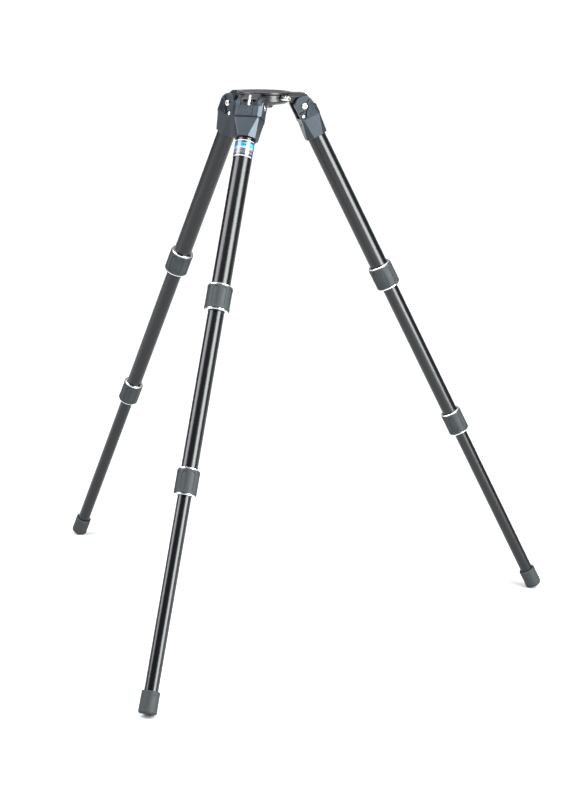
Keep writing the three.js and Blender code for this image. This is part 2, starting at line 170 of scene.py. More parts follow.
def adopt(name: str) -> bpy.types.Object:
    """Names the primitive that was just added and returns it."""
    obj = bpy.context.object
    obj.name = name
    obj.data.name = name
    return obj


def settle_normals() -> None:
    """In edit mode: merges doubles, then turns all faces outward."""
    bpy.ops.mesh.select_all(action="SELECT")
    bpy.ops.mesh.remove_doubles(threshold=NEAR * MM)
    bpy.ops.mesh.normals_make_consistent(inside=False)


def moved(obj: bpy.types.Object, turn: Sequence[float], place: Sequence[float] = (0, 0,
                                                                                  0)) -> bpy.types.Object:
    """Turns a piece, moves it and applies both.

    Args:
        obj: the piece.
        turn: its turn about X, Y and Z, in radians.
        place: where its origin goes, in millimetres.

    Returns:
        The same piece.
    """
    pick(obj)
    obj.rotation_euler = turn
    obj.location = Vector(place) * MM
    bpy.ops.object.transform_apply(location=True, rotation=True, scale=True)
    return obj


def turned(name: str, profile: Profile, sides: int = 96, hollow: bool = False) -> bpy.types.Object:
    """A turned piece about Z: a circle, extruded and resized along its profile.

    Args:
        name: the object's name.
        profile: (radius, height) points in millimetres, from one end to the other, all off the axis. A hollow
            one runs right round its wall, back to next to where it began.
        sides: points round the circle.
        hollow: whether the profile closes on itself; otherwise both its ends are filled.

    Returns:
        The piece, closed, with its faces outward.
    """
    deselect()
    radius, height = profile[0]
    fill = "NOTHING" if hollow else "NGON"
    bpy.ops.mesh.primitive_circle_add(vertices=sides, radius=radius * MM, fill_type=fill,
                                      location=(0, 0, height * MM))
    obj = adopt(name)
    bpy.ops.object.transform_apply(location=True, rotation=True, scale=True)
    bpy.ops.object.mode_set(mode="EDIT")
    bpy.ops.mesh.select_mode(type="FACE" if not hollow else "EDGE")
    bpy.ops.mesh.select_all(action="SELECT")
    steps = list(profile[1:]) + ([profile[0]] if hollow else [])
    for next_radius, next_height in steps:
        rise = {"value": (0, 0, (next_height - height) * MM)}
        bpy.ops.mesh.extrude_region_move(TRANSFORM_OT_translate=rise)
        grow = next_radius / radius
        bpy.ops.transform.resize(value=(grow, grow, 1), center_override=(0, 0, next_height * MM))
        radius, height = next_radius, next_height
    settle_normals()
    bpy.ops.object.mode_set(mode="OBJECT")
    return obj


def plate(name: str, outline: Profile, axis: Axis, start: float, end: float) -> bpy.types.Object:
    """A flat plate with a free outline, across one axis.

    Args:
        name: the object's name.
        outline: points in millimetres. Across X they are (y, z), across Y (x, z) and across Z (x, y).
        axis: the axis that the plate's thickness runs along.
        start: where the plate begins on that axis.
        end: where it ends.

    Returns:
        The piece, closed, with its faces outward.
    """
    deselect()
    bpy.ops.mesh.primitive_circle_add(vertices=len(outline), radius=MM, fill_type="NGON")
    obj = adopt(name)
    bpy.ops.object.mode_set(mode="EDIT")
    mesh = bmesh.from_edit_mesh(obj.data)
    mesh.verts.ensure_lookup_table()
    spots = {
        Axis.X: lambda u, v: (start, u, v),
        Axis.Y: lambda u, v: (u, start, v),
        Axis.Z: lambda u, v: (u, v, start),
    }[axis]
    for vertex, (u, v) in zip(mesh.verts, outline):
        vertex.co = Vector(spots(u, v)) * MM
    bmesh.update_edit_mesh(obj.data)
    bpy.ops.mesh.select_mode(type="FACE")
    bpy.ops.mesh.select_all(action="SELECT")
    unit = {Axis.X: Vector((1, 0, 0)), Axis.Y: Vector((0, 1, 0)), Axis.Z: Vector((0, 0, 1))}[axis]
    bpy.ops.mesh.extrude_region_move(TRANSFORM_OT_translate={"value": tuple(unit * (end - start) * MM)})
    settle_normals()
    bpy.ops.object.mode_set(mode="OBJECT")
    return obj


def block(name: str, low: Sequence[float], high: Sequence[float]) -> bpy.types.Object:
    """A box-shaped cutter or blank between two corners, in millimetres."""
    outline = [(low[0], low[1]), (high[0], low[1]), (high[0], high[1]), (low[0], high[1])]
    return plate(name, outline, Axis.Z, low[2], high[2])


@dataclass(frozen=True)
class Section:
    """A rounded rectangle across Z, one station of a lofted body.

    Attributes:
        height: where it lies on Z.
        half_width: half its size along X.
        outward: its reach towards -Y.
        inward: its reach towards +Y.
        corner: radius of its corners.
    """

    height: float
    half_width: float
    outward: float
    inward: float
    corner: float


def lofted(name: str, sections: Sequence[Section], corner_steps: int = 9) -> bpy.types.Object:
    """A body bridged through rounded rectangles, with both ends filled.

    Args:
        name: the object's name.
        sections: the stations, in order along Z.
        corner_steps: chords in each corner.

    Returns:
        The piece, closed, with its faces outward.
    """
    deselect()
    bpy.ops.mesh.primitive_plane_add(size=MM)
    obj = adopt(name)
    bpy.ops.object.mode_set(mode="EDIT")
    bpy.ops.mesh.select_all(action="SELECT")
    bpy.ops.mesh.delete(type="VERT")
    for station in sections:
        middle = (0.0, (station.inward - station.outward) / 2 * MM, station.height * MM)
        bpy.ops.mesh.select_all(action="DESELECT")
        bpy.ops.mesh.primitive_plane_add(size=1, location=middle)
        size = (2 * station.half_width * MM, (station.inward + station.outward) * MM, 1)
        bpy.ops.transform.resize(value=size, center_override=middle)
        bpy.ops.mesh.bevel(offset=station.corner * MM, segments=corner_steps, affect="VERTICES")
        bpy.ops.mesh.delete(type="ONLY_FACE")
    bpy.ops.mesh.select_mode(type="EDGE")
    for lower, upper in zip(sections, sections[1:]):
        pick_rings(obj, (lower.height, upper.height))
        bpy.ops.mesh.bridge_edge_loops()
    for end in (sections[0], sections[-1]):
        pick_rings(obj, (end.height,))
        bpy.ops.mesh.edge_face_add()
    settle_normals()
    bpy.ops.object.mode_set(mode="OBJECT")
    return obj


def pick_rings(obj: bpy.types.Object, heights: Iterable[float]) -> None:
    """Selects in edit mode the edges that lie flat at any of the heights, in millimetres."""
    bpy.ops.mesh.select_mode(type="EDGE")
    bpy.ops.mesh.select_all(action="DESELECT")
    mesh = bmesh.from_edit_mesh(obj.data)
    for edge in mesh.edges:
        ends = [v.co.z / MM for v in edge.verts]
        if any(all(abs(z - height) < 0.001 for z in ends) for height in heights):
            edge.select_set(True)
    bmesh.update_edit_mesh(obj.data)


class Cut(Enum):
    """What a second solid does to the first."""

    JOIN = "UNION"
    TAKE = "DIFFERENCE"


def combine(obj: bpy.types.Object, cut: Cut, *tools: bpy.types.Object) -> bpy.types.Object:
    """Joins solids to a piece, or cuts them from it, and removes them.

    Args:
        obj: the piece.
        cut: what is done.
        tools: the solids that do it.

    Returns:
        The same piece.
    """
    for tool in tools:
        pick(obj)
        modifier = obj.modifiers.new("combine", "BOOLEAN")
        modifier.operation = cut.value
        modifier.solver = "EXACT"
        modifier.object = tool
        bpy.ops.object.modifier_apply(modifier=modifier.name)
        bpy.data.objects.remove(tool, do_unlink=True)
    return obj


def soften(obj: bpy.types.Object, width: float, steps: int = 2, angle: float = 28.0,
           clamp: bool = True) -> bpy.types.Object:
    """Rounds a piece's sharp edges and shades it smooth between them.

    Args:
        obj: the piece.
        width: size of the rounding in millimetres; 0 leaves the edges as they are.
        steps: chords across each rounding.
        angle: the least angle, in degrees, that counts as an edge.
        clamp: whether the rounding shrinks to fit the shortest edge.

    Returns:
        The same piece.
    """
    pick(obj)
    if width > 0:
        bpy.ops.object.mode_set(mode="EDIT")
        bpy.ops.mesh.select_mode(type="VERT")
        bpy.ops.mesh.select_all(action="SELECT")
        bpy.ops.mesh.remove_doubles(threshold=SPECK * MM)
        bpy.ops.mesh.dissolve_limited(angle_limit=math.radians(FLAT), use_dissolve_boundaries=False)
        bpy.ops.mesh.select_all(action="SELECT")
        bpy.ops.mesh.remove_doubles(threshold=SPECK * MM)
        bpy.ops.object.mode_set(mode="OBJECT")
        bevel = obj.modifiers.new("rounding", "BEVEL")
        bevel.width = width * MM
        bevel.segments = steps
        bevel.limit_method = "ANGLE"
        bevel.angle_limit = math.radians(angle)
        bevel.use_clamp_overlap = clamp
        bevel.miter_outer = "MITER_ARC"
        bpy.ops.object.modifier_apply(modifier=bevel.name)
    bpy.ops.object.shade_smooth_by_angle(angle=math.radians(angle + 8))
    flatten = obj.modifiers.new("flat_faces", "WEIGHTED_NORMAL")
    flatten.keep_sharp = True
    bpy.ops.object.modifier_apply(modifier=flatten.name)
    return obj


def hex_socket(across: float, start: float, end: float) -> bpy.types.Object:
    """A six-sided cutter about Z.

    Args:
        across: size across the flats, in millimetres.
        start: where it begins on Z.
        end: where it ends.

    Returns:
        The cutter.
    """
    radius = across / math.sqrt(3)
    return turned("socket", [(radius, start), (radius, end)], sides=6)


# ---- Finishes ----
Colour = tuple[float, float, float]


def rgba(colour: Colour) -> tuple[float, float, float, float]:
    """A colour as the four numbers that a socket takes."""
    return (*colour, 1.0)


class Recipe:
    """A material's node tree while it is being put together.

    All patterns read bench coordinates, in millimetres: the attribute that a finished piece carries, or the
    object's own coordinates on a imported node.
    """

    def __init__(self, name: str, on_bench: bool = True) -> None:
        """Starts a material with one Principled shader.

        Args:
            name: the material's name.
            on_bench: whether pieces carry the bench attribute.
        """
        self.material = bpy.data.materials.new(name)
        self.material.use_nodes = True
        self.nodes = self.material.node_tree.nodes
        self.links = self.material.node_tree.links
        self.shader = self.nodes["Principled BSDF"]
        self.place = self._place(on_bench)

    def _place(self, on_bench: bool) -> bpy.types.NodeSocket:
        """The socket that patterns read: a place on the piece in millimetres."""
        scale = self.nodes.new("ShaderNodeVectorMath")
        scale.operation = "SCALE"
        scale.inputs["Scale"].default_value = 1 / MM
        if on_bench:
            source = self.nodes.new("ShaderNodeAttribute")
            source.attribute_name = BENCH_ATTRIBUTE
            self.links.new(source.outputs["Vector"], scale.inputs[0])
        else:
            source = self.nodes.new("ShaderNodeTexCoord")
            self.links.new(source.outputs["Object"], scale.inputs[0])
        return scale.outputs["Vector"]

    def set(self, **values: float | Colour) -> None:
        """Sets the shader's own sockets; a name's underscores stand for spaces."""
        for name, value in values.items():
            socket = self.shader.inputs[name.replace("_", " ")]
            socket.default_value = rgba(value) if isinstance(value, tuple) else value

    def stretched(self, stretch: Sequence[float]) -> bpy.types.NodeSocket:
        """The place, scaled by a factor along each bench axis."""
        node = self.nodes.new("ShaderNodeVectorMath")
        node.operation = "MULTIPLY"
        node.inputs[1].default_value = tuple(stretch)
        self.links.new(self.place, node.inputs[0])
        return node.outputs["Vector"]

    def noise(self, size: float, detail: float = 3.0, stretch: Sequence[float] = (1, 1, 1),
              roughness: float = 0.5) -> bpy.types.NodeSocket:
        """Noise whose features are about size millimetres across.

        Args:
            size: feature size in millimetres.
            detail: number of finer layers.
            stretch: factor along each axis before the noise.
            roughness: weight of the finer layers.

        Returns:
            The noise's value, about 0 to 1.
        """
        node = self.nodes.new("ShaderNodeTexNoise")
        node.inputs["Scale"].default_value = 1 / size
        node.inputs["Detail"].default_value = detail
        node.inputs["Roughness"].default_value = roughness
        self.links.new(self.stretched(stretch), node.inputs["Vector"])
        return node.outputs["Fac"]

    def part(self, axis: Axis) -> bpy.types.NodeSocket:
        """One coordinate of the place, in millimetres."""
        node = self.nodes.new("ShaderNodeSeparateXYZ")
        self.links.new(self.place, node.inputs[0])
        return node.outputs[axis.name]

    def math(self, operation: str, first: bpy.types.NodeSocket, second: bpy.types.NodeSocket | float = 0.0,
             third: float = 0.0) -> bpy.types.NodeSocket:
        """A Math node's result.

        Args:
            operation: the node's operation.
            first: its first input.
            second: its second input, a socket or a number.
            third: its third input, where it has one.

        Returns:
            The value.
        """
        node = self.nodes.new("ShaderNodeMath")
        node.operation = operation
        self.links.new(first, node.inputs[0])
        if isinstance(second, bpy.types.NodeSocket):
            self.links.new(second, node.inputs[1])
        else:
            node.inputs[1].default_value = second
        node.inputs[2].default_value = third
        return node.outputs[0]

    def ramp(self, value: bpy.types.NodeSocket, stops: Sequence[tuple[float, Colour]],
             sharp: bool = False) -> bpy.types.NodeSocket:
        """A colour ramp.

        Args:
            value: what it reads, 0 to 1.
            stops: (place, colour) pairs in order.
            sharp: whether the colours change in steps.

        Returns:
            The colour.
        """
        node = self.nodes.new("ShaderNodeValToRGB")
        node.color_ramp.interpolation = "CONSTANT" if sharp else "LINEAR"
        elements = node.color_ramp.elements
        while len(elements) < len(stops):
            elements.new(1.0)
        for element, (place, colour) in zip(elements, stops):
            element.position = place
            element.color = rgba(colour)
        self.links.new(value, node.inputs[0])
        return node.outputs["Color"]

    def spread(self, value: bpy.types.NodeSocket, low: float, high: float) -> bpy.types.NodeSocket:
        """A value from 0 to 1 carried to the range low to high."""
        node = self.nodes.new("ShaderNodeMapRange")
        node.inputs["To Min"].default_value = low
        node.inputs["To Max"].default_value = high
        self.links.new(value, node.inputs["Value"])
        return node.outputs["Result"]

    def mix(self, factor: bpy.types.NodeSocket, first: bpy.types.NodeSocket | Colour,
            second: bpy.types.NodeSocket | Colour) -> bpy.types.NodeSocket:
        """Mixes two colours by a factor."""
        node = self.nodes.new("ShaderNodeMix")
        node.data_type = "RGBA"
        self.links.new(factor, node.inputs[0])
        for socket, value in ((node.inputs[6], first), (node.inputs[7], second)):
            if isinstance(value, tuple):
                socket.default_value = rgba(value)
            else:
                self.links.new(value, socket)
        return node.outputs[2]

    def feed(self, name: str, value: bpy.types.NodeSocket) -> None:
        """Links a value to one of the shader's sockets."""
        self.links.new(value, self.shader.inputs[name])

    def relief(self, *layers: tuple[bpy.types.NodeSocket, float]) -> None:
        """Adds bumps to the surface.

        Args:
            layers: (height from 0 to 1, depth in millimetres) pairs, one over the other.
        """
        normal = None
        for height, depth in layers:
            bump = self.nodes.new("ShaderNodeBump")
            bump.inputs["Distance"].default_value = depth * MM
            bump.inputs["Strength"].default_value = 1.0
            self.links.new(height, bump.inputs["Height"])
            if normal is not None:
                self.links.new(normal, bump.inputs["Normal"])
            normal = bump.outputs["Normal"]
        if normal is not None:
            self.links.new(normal, self.shader.inputs["Normal"])


BENCH_ATTRIBUTE = "bench"


@dataclass(frozen=True)
class TubeLacquer:
    """Gloss black lacquer over drawn tube."""

    colour: Colour = (0.0012, 0.0014, 0.0016)
    haze: Colour = (0.0024, 0.0028, 0.003)

    def make(self) -> bpy.types.Material:
        """Builds the material."""
        recipe = Recipe("tube_lacquer")
        recipe.set(Metallic=0.0, IOR=1.45, Specular_IOR_Level=0.45)
        cloud = recipe.noise(38, 4, (1, 1, 0.25))
        recipe.feed("Base Color", recipe.mix(cloud, self.colour, self.haze))
        recipe.feed("Roughness", recipe.spread(recipe.noise(9, 3), 0.21, 0.26))
        recipe.relief((recipe.noise(0.8, 2), 0.0012))
        return recipe.material


@dataclass(frozen=True)
class CastingPaint:
    """Fine-grained paint on a casting.

    Attributes:
        name: the material's name.
        colour: the paint.
        worn: the paint where it is rubbed.
        sheen: how metallic the paint is.
        smooth: least roughness.
        rough: greatest roughness.
        grain: depth of the grain in millimetres.
    """

    name: str
    colour: Colour
    worn: Colour
    sheen: float
    smooth: float
    rough: float
    grain: float

    def make(self) -> bpy.types.Material:
        """Builds the material."""
        recipe = Recipe(self.name)
        recipe.set(Metallic=self.sheen, IOR=1.5, Specular_IOR_Level=0.4)
        rub = recipe.math("POWER", recipe.noise(7, 6, roughness=0.62), 2.2)
        speck = recipe.noise(0.55, 2)
        base = recipe.mix(rub, self.colour, self.worn)
        darker = tuple(c * 0.72 for c in self.colour)
        recipe.feed("Base Color", recipe.mix(recipe.spread(speck, 0.0, 0.55), base, darker))
        recipe.feed("Roughness", recipe.spread(recipe.noise(3.5, 4), self.smooth, self.rough))
        recipe.relief((speck, self.grain), (recipe.noise(1.7, 2), self.grain * 1.2))
        return recipe.material


@dataclass(frozen=True)
class TurnedMetal:
    """Bare metal, with fine lathe lines round the bench's Z axis.

    Attributes:
        name: the material's name.
        colour: the metal.
        smooth: least roughness.
        rough: greatest roughness.
        lines: depth of the lathe lines in millimetres.
    """

    name: str
    colour: Colour
    smooth: float
    rough: float
    lines: float

    def make(self) -> bpy.types.Material:
        """Builds the material."""
        recipe = Recipe(self.name)
        recipe.set(Metallic=1.0)
        stain = recipe.noise(5, 5)
        dull = tuple(c * 0.78 for c in self.colour)
        recipe.feed("Base Color", recipe.mix(stain, self.colour, dull))
        lathe = recipe.noise(0.35, 2, (0.04, 0.04, 1))
        recipe.feed("Roughness", recipe.spread(lathe, self.smooth, self.rough))
        recipe.relief((lathe, self.lines))
        return recipe.material


@dataclass(frozen=True)
class MouldedRubber:
    """Matt moulded rubber or nylon with a fine tooth and a little dust.

    Attributes:
        name: the material's name.
        colour: the rubber.
        dust: the rubber where dust lies.
        tooth: depth of the grain in millimetres.
        gloss: how far the surface shines, from 0 to 1.
        on_bench: whether pieces carry the bench attribute.
    """

    name: str
    colour: Colour
    dust: Colour
    tooth: float
    gloss: float = 0.0
    on_bench: bool = True

    def make(self) -> bpy.types.Material:
        """Builds the material."""
        recipe = Recipe(self.name, self.on_bench)
        recipe.set(Metallic=0.0, IOR=1.45, Specular_IOR_Level=0.25)
        patch = recipe.noise(9, 5, roughness=0.6)
        recipe.feed("Base Color", recipe.mix(recipe.math("POWER", patch, 1.6), self.colour, self.dust))
        rough = 0.78 - 0.4 * self.gloss
        recipe.feed("Roughness", recipe.spread(recipe.noise(2.5, 3), rough - 0.1, rough + 0.08))
        recipe.relief((recipe.noise(0.45, 3), self.tooth), (recipe.noise(2.4, 2), self.tooth * 1.5))
        return recipe.material


@dataclass(frozen=True)
class LabelFilm:
    """Printed film on the front leg: bands across it and plain dashes, with no lettering.

    Attributes:
        top: where the label begins on Z, in millimetres.
        bottom: where it ends.
    """

    top: float
    bottom: float

    def make(self) -> bpy.types.Material:
        """Builds the material."""
        recipe = Recipe("label_film")
        recipe.set(Metallic=0.0, Roughness=0.28, Coat_Weight=0.5, Coat_Roughness=0.12, IOR=1.5)
        white, silver = (0.3, 0.31, 0.33), (0.1, 0.11, 0.13)
        blue, cyan, ink = (0.003, 0.07, 0.3), (0.02, 0.27, 0.42), (0.008, 0.009, 0.012)
        down = recipe.math("SUBTRACT", recipe.part(Axis.Z), self.top)
        share = recipe.math("DIVIDE", down, self.bottom - self.top)
        across = recipe.spread(recipe.math("MULTIPLY_ADD", recipe.part(Axis.X), 1 / 22, 0.5), 0.0, 1.0)
        sky = recipe.ramp(across, [(0.0, blue), (0.45, (0.005, 0.13, 0.4)), (0.85, cyan)])
        bands = recipe.ramp(share, [(0.0, white), (0.05, ink), (0.16, silver), (0.42, white), (0.47, silver),
                                    (0.6, ink), (0.65, silver), (0.78, ink), (0.9, white), (0.96, ink)],
                                    sharp=True)
        in_sky = recipe.ramp(share, [(0.0, (0.0, 0.0, 0.0)), (0.16, (1.0, 1.0, 1.0)), (0.42, (0.0, 0.0,
                                                                                              0.0))],
                             sharp=True)
        coloured = recipe.mix(in_sky, bands, sky)
        off, on = (0.0, 0.0, 0.0), (1.0, 1.0, 1.0)
        dash_row = recipe.ramp(share, [(0.0, off), (0.24, on), (0.34, off), (0.5, on), (0.57, off),
                                       (0.68, on),
                                       (0.75, off)], sharp=True)
        wave = recipe.math("SINE", recipe.math("MULTIPLY", recipe.part(Axis.X), 2.6))
        dashes = recipe.math("GREATER_THAN", wave, -0.55)
        middle = recipe.math("LESS_THAN", recipe.math("ABSOLUTE", recipe.part(Axis.X)), 6.5)
        inked = recipe.math("MULTIPLY", recipe.math("MULTIPLY", dashes, middle), dash_row)
        recipe.feed("Base Color", recipe.mix(inked, coloured, ink))
        recipe.relief((recipe.noise(1.2, 2), 0.004))
        return recipe.material


class Finish(Enum):
    """Every finish on the tripod, under the record's name for its material slot."""

    HEAD = "head_paint"
    CASTING = "leg_casting_paint"
    TUBE = "tube_lacquer"
    ALUMINIUM = "bare_aluminium"
    STEEL = "bright_steel"
    RUBBER = "grip_rubber"
    PAD = "pad_rubber"
    NYLON = "nylon"
    LABEL = "label_film"


def make_finishes() -> dict[Finish, bpy.types.Material]:
    """Builds every material once.

    Returns:
        The material of each finish.
    """
    _, label_low, label_high = MODEL_LEG.sleeve("front_label")
    recipes = {
        Finish.HEAD: CastingPaint("head_paint", (0.006, 0.0065, 0.0075), (0.014, 0.015, 0.017), 0.2, 0.2,
                                  0.32, 0.003),
        Finish.CASTING: CastingPaint("leg_casting_paint", (0.026, 0.032, 0.039), (0.045, 0.054, 0.062), 0.75,
                                     0.3, 0.4,
                                     0.004),
        Finish.TUBE: TubeLacquer(),
        Finish.ALUMINIUM: TurnedMetal("bare_aluminium", (0.82, 0.83, 0.85), 0.2, 0.34, 0.0015),
        Finish.STEEL: TurnedMetal("bright_steel", (0.72, 0.7, 0.66), 0.12, 0.24, 0.001),
        Finish.RUBBER: MouldedRubber("grip_rubber", (0.016, 0.019, 0.0195), (0.032, 0.037, 0.038), 0.008,
                                     0.55),
        Finish.PAD: MouldedRubber("pad_rubber", (0.02, 0.02, 0.022), (0.045, 0.045, 0.048), 0.03),
        Finish.NYLON: MouldedRubber("nylon", (0.02, 0.02, 0.022), (0.035, 0.035, 0.04), 0.006, 0.5,
                                    on_bench=False),
        Finish.LABEL: LabelFilm(label_high, label_low),
    }
    return {finish: recipe.make() for finish, recipe in recipes.items()}


# ---- Fitting ----
def gathered(name: str, pieces: Sequence[bpy.types.Object]) -> bpy.types.Object:
    """Joins separate solids that don't touch into one object."""
    pick(pieces[0])
    for piece in pieces:
        piece.select_set(True)
    bpy.ops.object.join()
    return adopt(name)


def copied(obj: bpy.types.Object, name: str) -> bpy.types.Object:
    """A copy of a piece with its own mesh."""
    twin = obj.copy()
    twin.data = obj.data.copy()
    twin.name = twin.data.name = name
    bpy.context.collection.objects.link(twin)
    return twin


def ringed(obj: bpy.types.Object, count: int, first: float = 0.0) -> bpy.types.Object:
    """Copies a piece evenly round the bench's Z axis.

    Args:
        obj: the piece, which becomes one of the ring.
        count: how many there are.
        first: degrees that the whole ring is turned by.

    Returns:
        All of them as one object.
    """
    ring = [obj] + [copied(obj, f"{obj.name}_{i}") for i in range(1, count)]
    for i, piece in enumerate(ring):
        moved(piece, (0, 0, math.radians(first) + math.tau * i / count))
    return gathered(obj.name, ring)


def mark_bench(obj: bpy.types.Object) -> None:
    """Stores every point's bench place on the mesh, for the materials to read."""
    places = [c for v in obj.data.vertices for c in v.co]
    attribute = obj.data.attributes.new(BENCH_ATTRIBUTE, "FLOAT_VECTOR", "POINT")
    attribute.data.foreach_set("vector", places)


def seat_piece(obj: bpy.types.Object, seat: Seat, finish: Finish, body: str, *nodes: str) -> bpy.types.Object:
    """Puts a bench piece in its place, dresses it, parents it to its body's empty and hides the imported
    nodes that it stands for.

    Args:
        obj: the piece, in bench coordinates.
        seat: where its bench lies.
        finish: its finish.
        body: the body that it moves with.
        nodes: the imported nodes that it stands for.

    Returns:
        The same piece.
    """
    mark_bench(obj)
    pick(obj)
    obj.matrix_world = seat.matrix
    bpy.ops.object.transform_apply(location=True, rotation=True, scale=True)
    obj.data.materials.clear()
    obj.data.materials.append(FINISHES[finish])
    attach(obj, body)
    if nodes:
        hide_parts(*nodes)
    LOG.info("%s rides on %s, %d faces", obj.name, body, len(obj.data.polygons))
    return obj


FINISHES = make_finishes()


@dataclass
class LegPart:
    """A piece that is made once on the bench and fitted to every leg.

    Attributes:
        stem: the piece's name without its side.
        finish: its finish.
        body: its body's name without the side, or the whole name where it doesn't move with the leg.
        sides: the legs that have it.
    """

    stem: str = ""
    finish: Finish = Finish.TUBE
    body: str = "leg"
    sides: Sequence[Side] = tuple(Side)

    def build(self) -> bpy.types.Object:
        """Makes the piece on the bench."""
        raise NotImplementedError

    def node(self) -> str:
        """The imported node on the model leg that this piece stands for."""
        return f"{self.stem}_{Side.FRONT.value}"

    def fit(self) -> None:
        """Makes the piece and puts one on each leg."""
        model = self.build()
        for side in self.sides:
            node = f"{self.stem}_{side.value}" if self.stem != "front_label" else self.stem
            body = self.body if self.body == "head" else f"{self.body}_{side.value}"
            seat_piece(copied(model, f"{node}_look"), LEGS[side], self.finish, body, node)
        bpy.data.objects.remove(model, do_unlink=True)


# ---- Tubes and feet ----
@dataclass
class Tube(LegPart):
    """A drawn tube; a sliding one has a guide bush round its top end.

    Attributes:
        wall: thickness of the tube.
        bush: length of the guide bush, 0 for none.
        proud: how far the bush stands out.
        edge: rounding of the ends.
    """

    finish: Finish = Finish.TUBE
    wall: float = 1.5
    bush: float = 0.0
    proud: float = 0.25
    edge: float = 0.4

    def build(self) -> bpy.types.Object:
        """Turns the tube."""
        widest, low, high = MODEL_LEG.sleeve(self.node())
        radius = widest - (self.proud if self.bush else 0.0)
        bore = radius - self.wall
        profile = [(bore, high - self.edge), (bore, low + self.edge), (bore + self.edge, low),
                   (radius - self.edge, low), (radius, low + self.edge)]
        if self.bush:
            shoulder = high - self.bush
            profile += [(radius, shoulder), (widest, shoulder + self.proud)]
        profile += [(widest, high - self.edge), (widest - self.edge, high), (bore + self.edge, high)]
        return soften(turned(self.stem, profile, hollow=True), 0.0)


@dataclass
class RubberFoot(LegPart):
    """Moulded foot: a plain cup with a chamfered lip and a grooved sole.

    Attributes:
        lip: chamfer round the upper end.
        corner: rounding round the sole.
        bore: radius of the tube's socket.
        floor: rubber below the tube's end.
        tread: radii of the grooves in the sole.
        tread_depth: their depth.
        shy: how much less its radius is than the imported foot's reach.
    """

    stem: str = "rubber_foot"
    finish: Finish = Finish.RUBBER
    body: str = "bottom"
    lip: float = 1.2
    corner: float = 3.5
    bore: float = 10.3
    floor: float = 21.2
    tread: Sequence[float] = (3.0, 6.0)
    tread_depth: float = 0.8
    shy: float = 0.3

    def build(self) -> bpy.types.Object:
        """Turns the cup, with grooves in its sole."""
        radius, low, high = MODEL_LEG.sleeve(self.node())
        radius -= self.shy
        profile = [(self.bore, low + self.floor), (self.bore, high - 0.4), (self.bore + 0.4, high),
                   (radius - self.lip, high), (radius, high - self.lip), (radius, high - 4.2), (radius - 0.25,
                                                                                                high - 4.5),
                   (radius - 0.25, high - 4.9), (radius, high - 5.2)]
        centre = (radius - self.corner, low + self.corner)
        profile += arc(centre, self.corner, 0, -90, 7)
        for groove in reversed(self.tread):
            top = low + self.tread_depth
            profile += [(groove + 0.9, low), (groove + 0.5, top), (groove - 0.5, top), (groove - 0.9, low)]
        return soften(turned(self.stem, profile), 0.0)


# ---- Twist locks ----
@dataclass
class LockGrip(LegPart):
    """Rubber sleeve on a lock, with round-ended flutes.

    Attributes:
        flutes: how many there are.
        width: width of a flute.
        band: plain rubber left beyond each end of the flutes.
        depth: depth of a flute.
        notch: (width, height, depth) of the deeper notch at a flute's upper end.
        wall: thickness of the rubber.
        edge: rounding of the sleeve's ends.
    """

    finish: Finish = Finish.RUBBER
    flutes: int = 10
    width: float = 8.8
    band: float = 2.6
    depth: float = 0.7
    notch: tuple[float, float, float] = (6.0, 1.5, 1.25)
    wall: float = 1.4
    edge: float = 0.9

    def build(self) -> bpy.types.Object:
        """Turns the sleeve and cuts its flutes."""
        radius, low, high = MODEL_LEG.sleeve(self.node())
        bore = radius - self.wall
        profile = [(bore, high), (bore, low)]
        profile += arc((radius - self.edge, low + self.edge), self.edge, -90, 0, 4)
        profile += arc((radius - self.edge, high - self.edge), self.edge, 0, 90, 4)
        sleeve = turned(self.stem, profile, sides=120, hollow=True)
        half = self.width / 2
        foot, head = low + self.band + half, high - self.band - half
        outline = arc((0, head), half, 0, 180, 10) + arc((0, foot), half, 180, 360, 10)
        floor = radius - self.depth
        flute = plate("flute", outline, Axis.Y, -(radius + 2), -(floor - 2))
        combine(flute, Cut.TAKE, turned("core", [(floor, low - 1), (floor, high + 1)], sides=120))
        combine(sleeve, Cut.TAKE, ringed(flute, self.flutes))
        wide, tall, deep = self.notch
        top = high - self.band - 0.4
        notch = block("notch", (-wide / 2, -(radius + 2), top - tall), (wide / 2, -(radius - deep), top))
        combine(sleeve, Cut.TAKE, ringed(notch, self.flutes))
        return soften(sleeve, 0.16, 2, 24)


@dataclass
class LockNut(LegPart):
    """Turning nut under the grip: a bright flange above it and a bright lip below.

    Attributes:
        skin: radius under the rubber.
        mouth: radius of the lower opening.
        mouth_depth: thickness of the ring round that opening.
        bore: radius inside the nut.
        rings: thickness of the flange.
        edge: chamfer of the flange and the lip.
    """

    finish: Finish = Finish.ALUMINIUM
    skin: float = 17.0
    mouth: float = 12.3
    mouth_depth: float = 3.8
    bore: float = 15.9
    rings: float = 1.7
    edge: float = 0.45

    def build(self) -> bpy.types.Object:
        """Turns the nut."""
        flange, low, high = MODEL_LEG.sleeve(self.node())
        ledge = high - self.rings
        inner = low + self.mouth_depth
        groove = self.skin - 0.5
        profile = [(self.bore, high - self.edge), (self.bore, inner), (self.mouth, inner),
                   (self.mouth, low + self.edge),
                   (self.mouth + self.edge, low), (groove - 1.3, low), (groove - 1.1, low + 0.25),
                   (groove - 0.7, low + 0.25),
                   (groove - 0.5, low), (self.skin - self.edge, low), (self.skin, low + self.edge),
                   (self.skin, ledge), (flange, ledge), (flange, high - self.edge), (flange - self.edge,
                                                                                     high),
                   (self.bore + self.edge, high)]
        return soften(turned(self.stem, profile, hollow=True), 0.08, 2, 30)


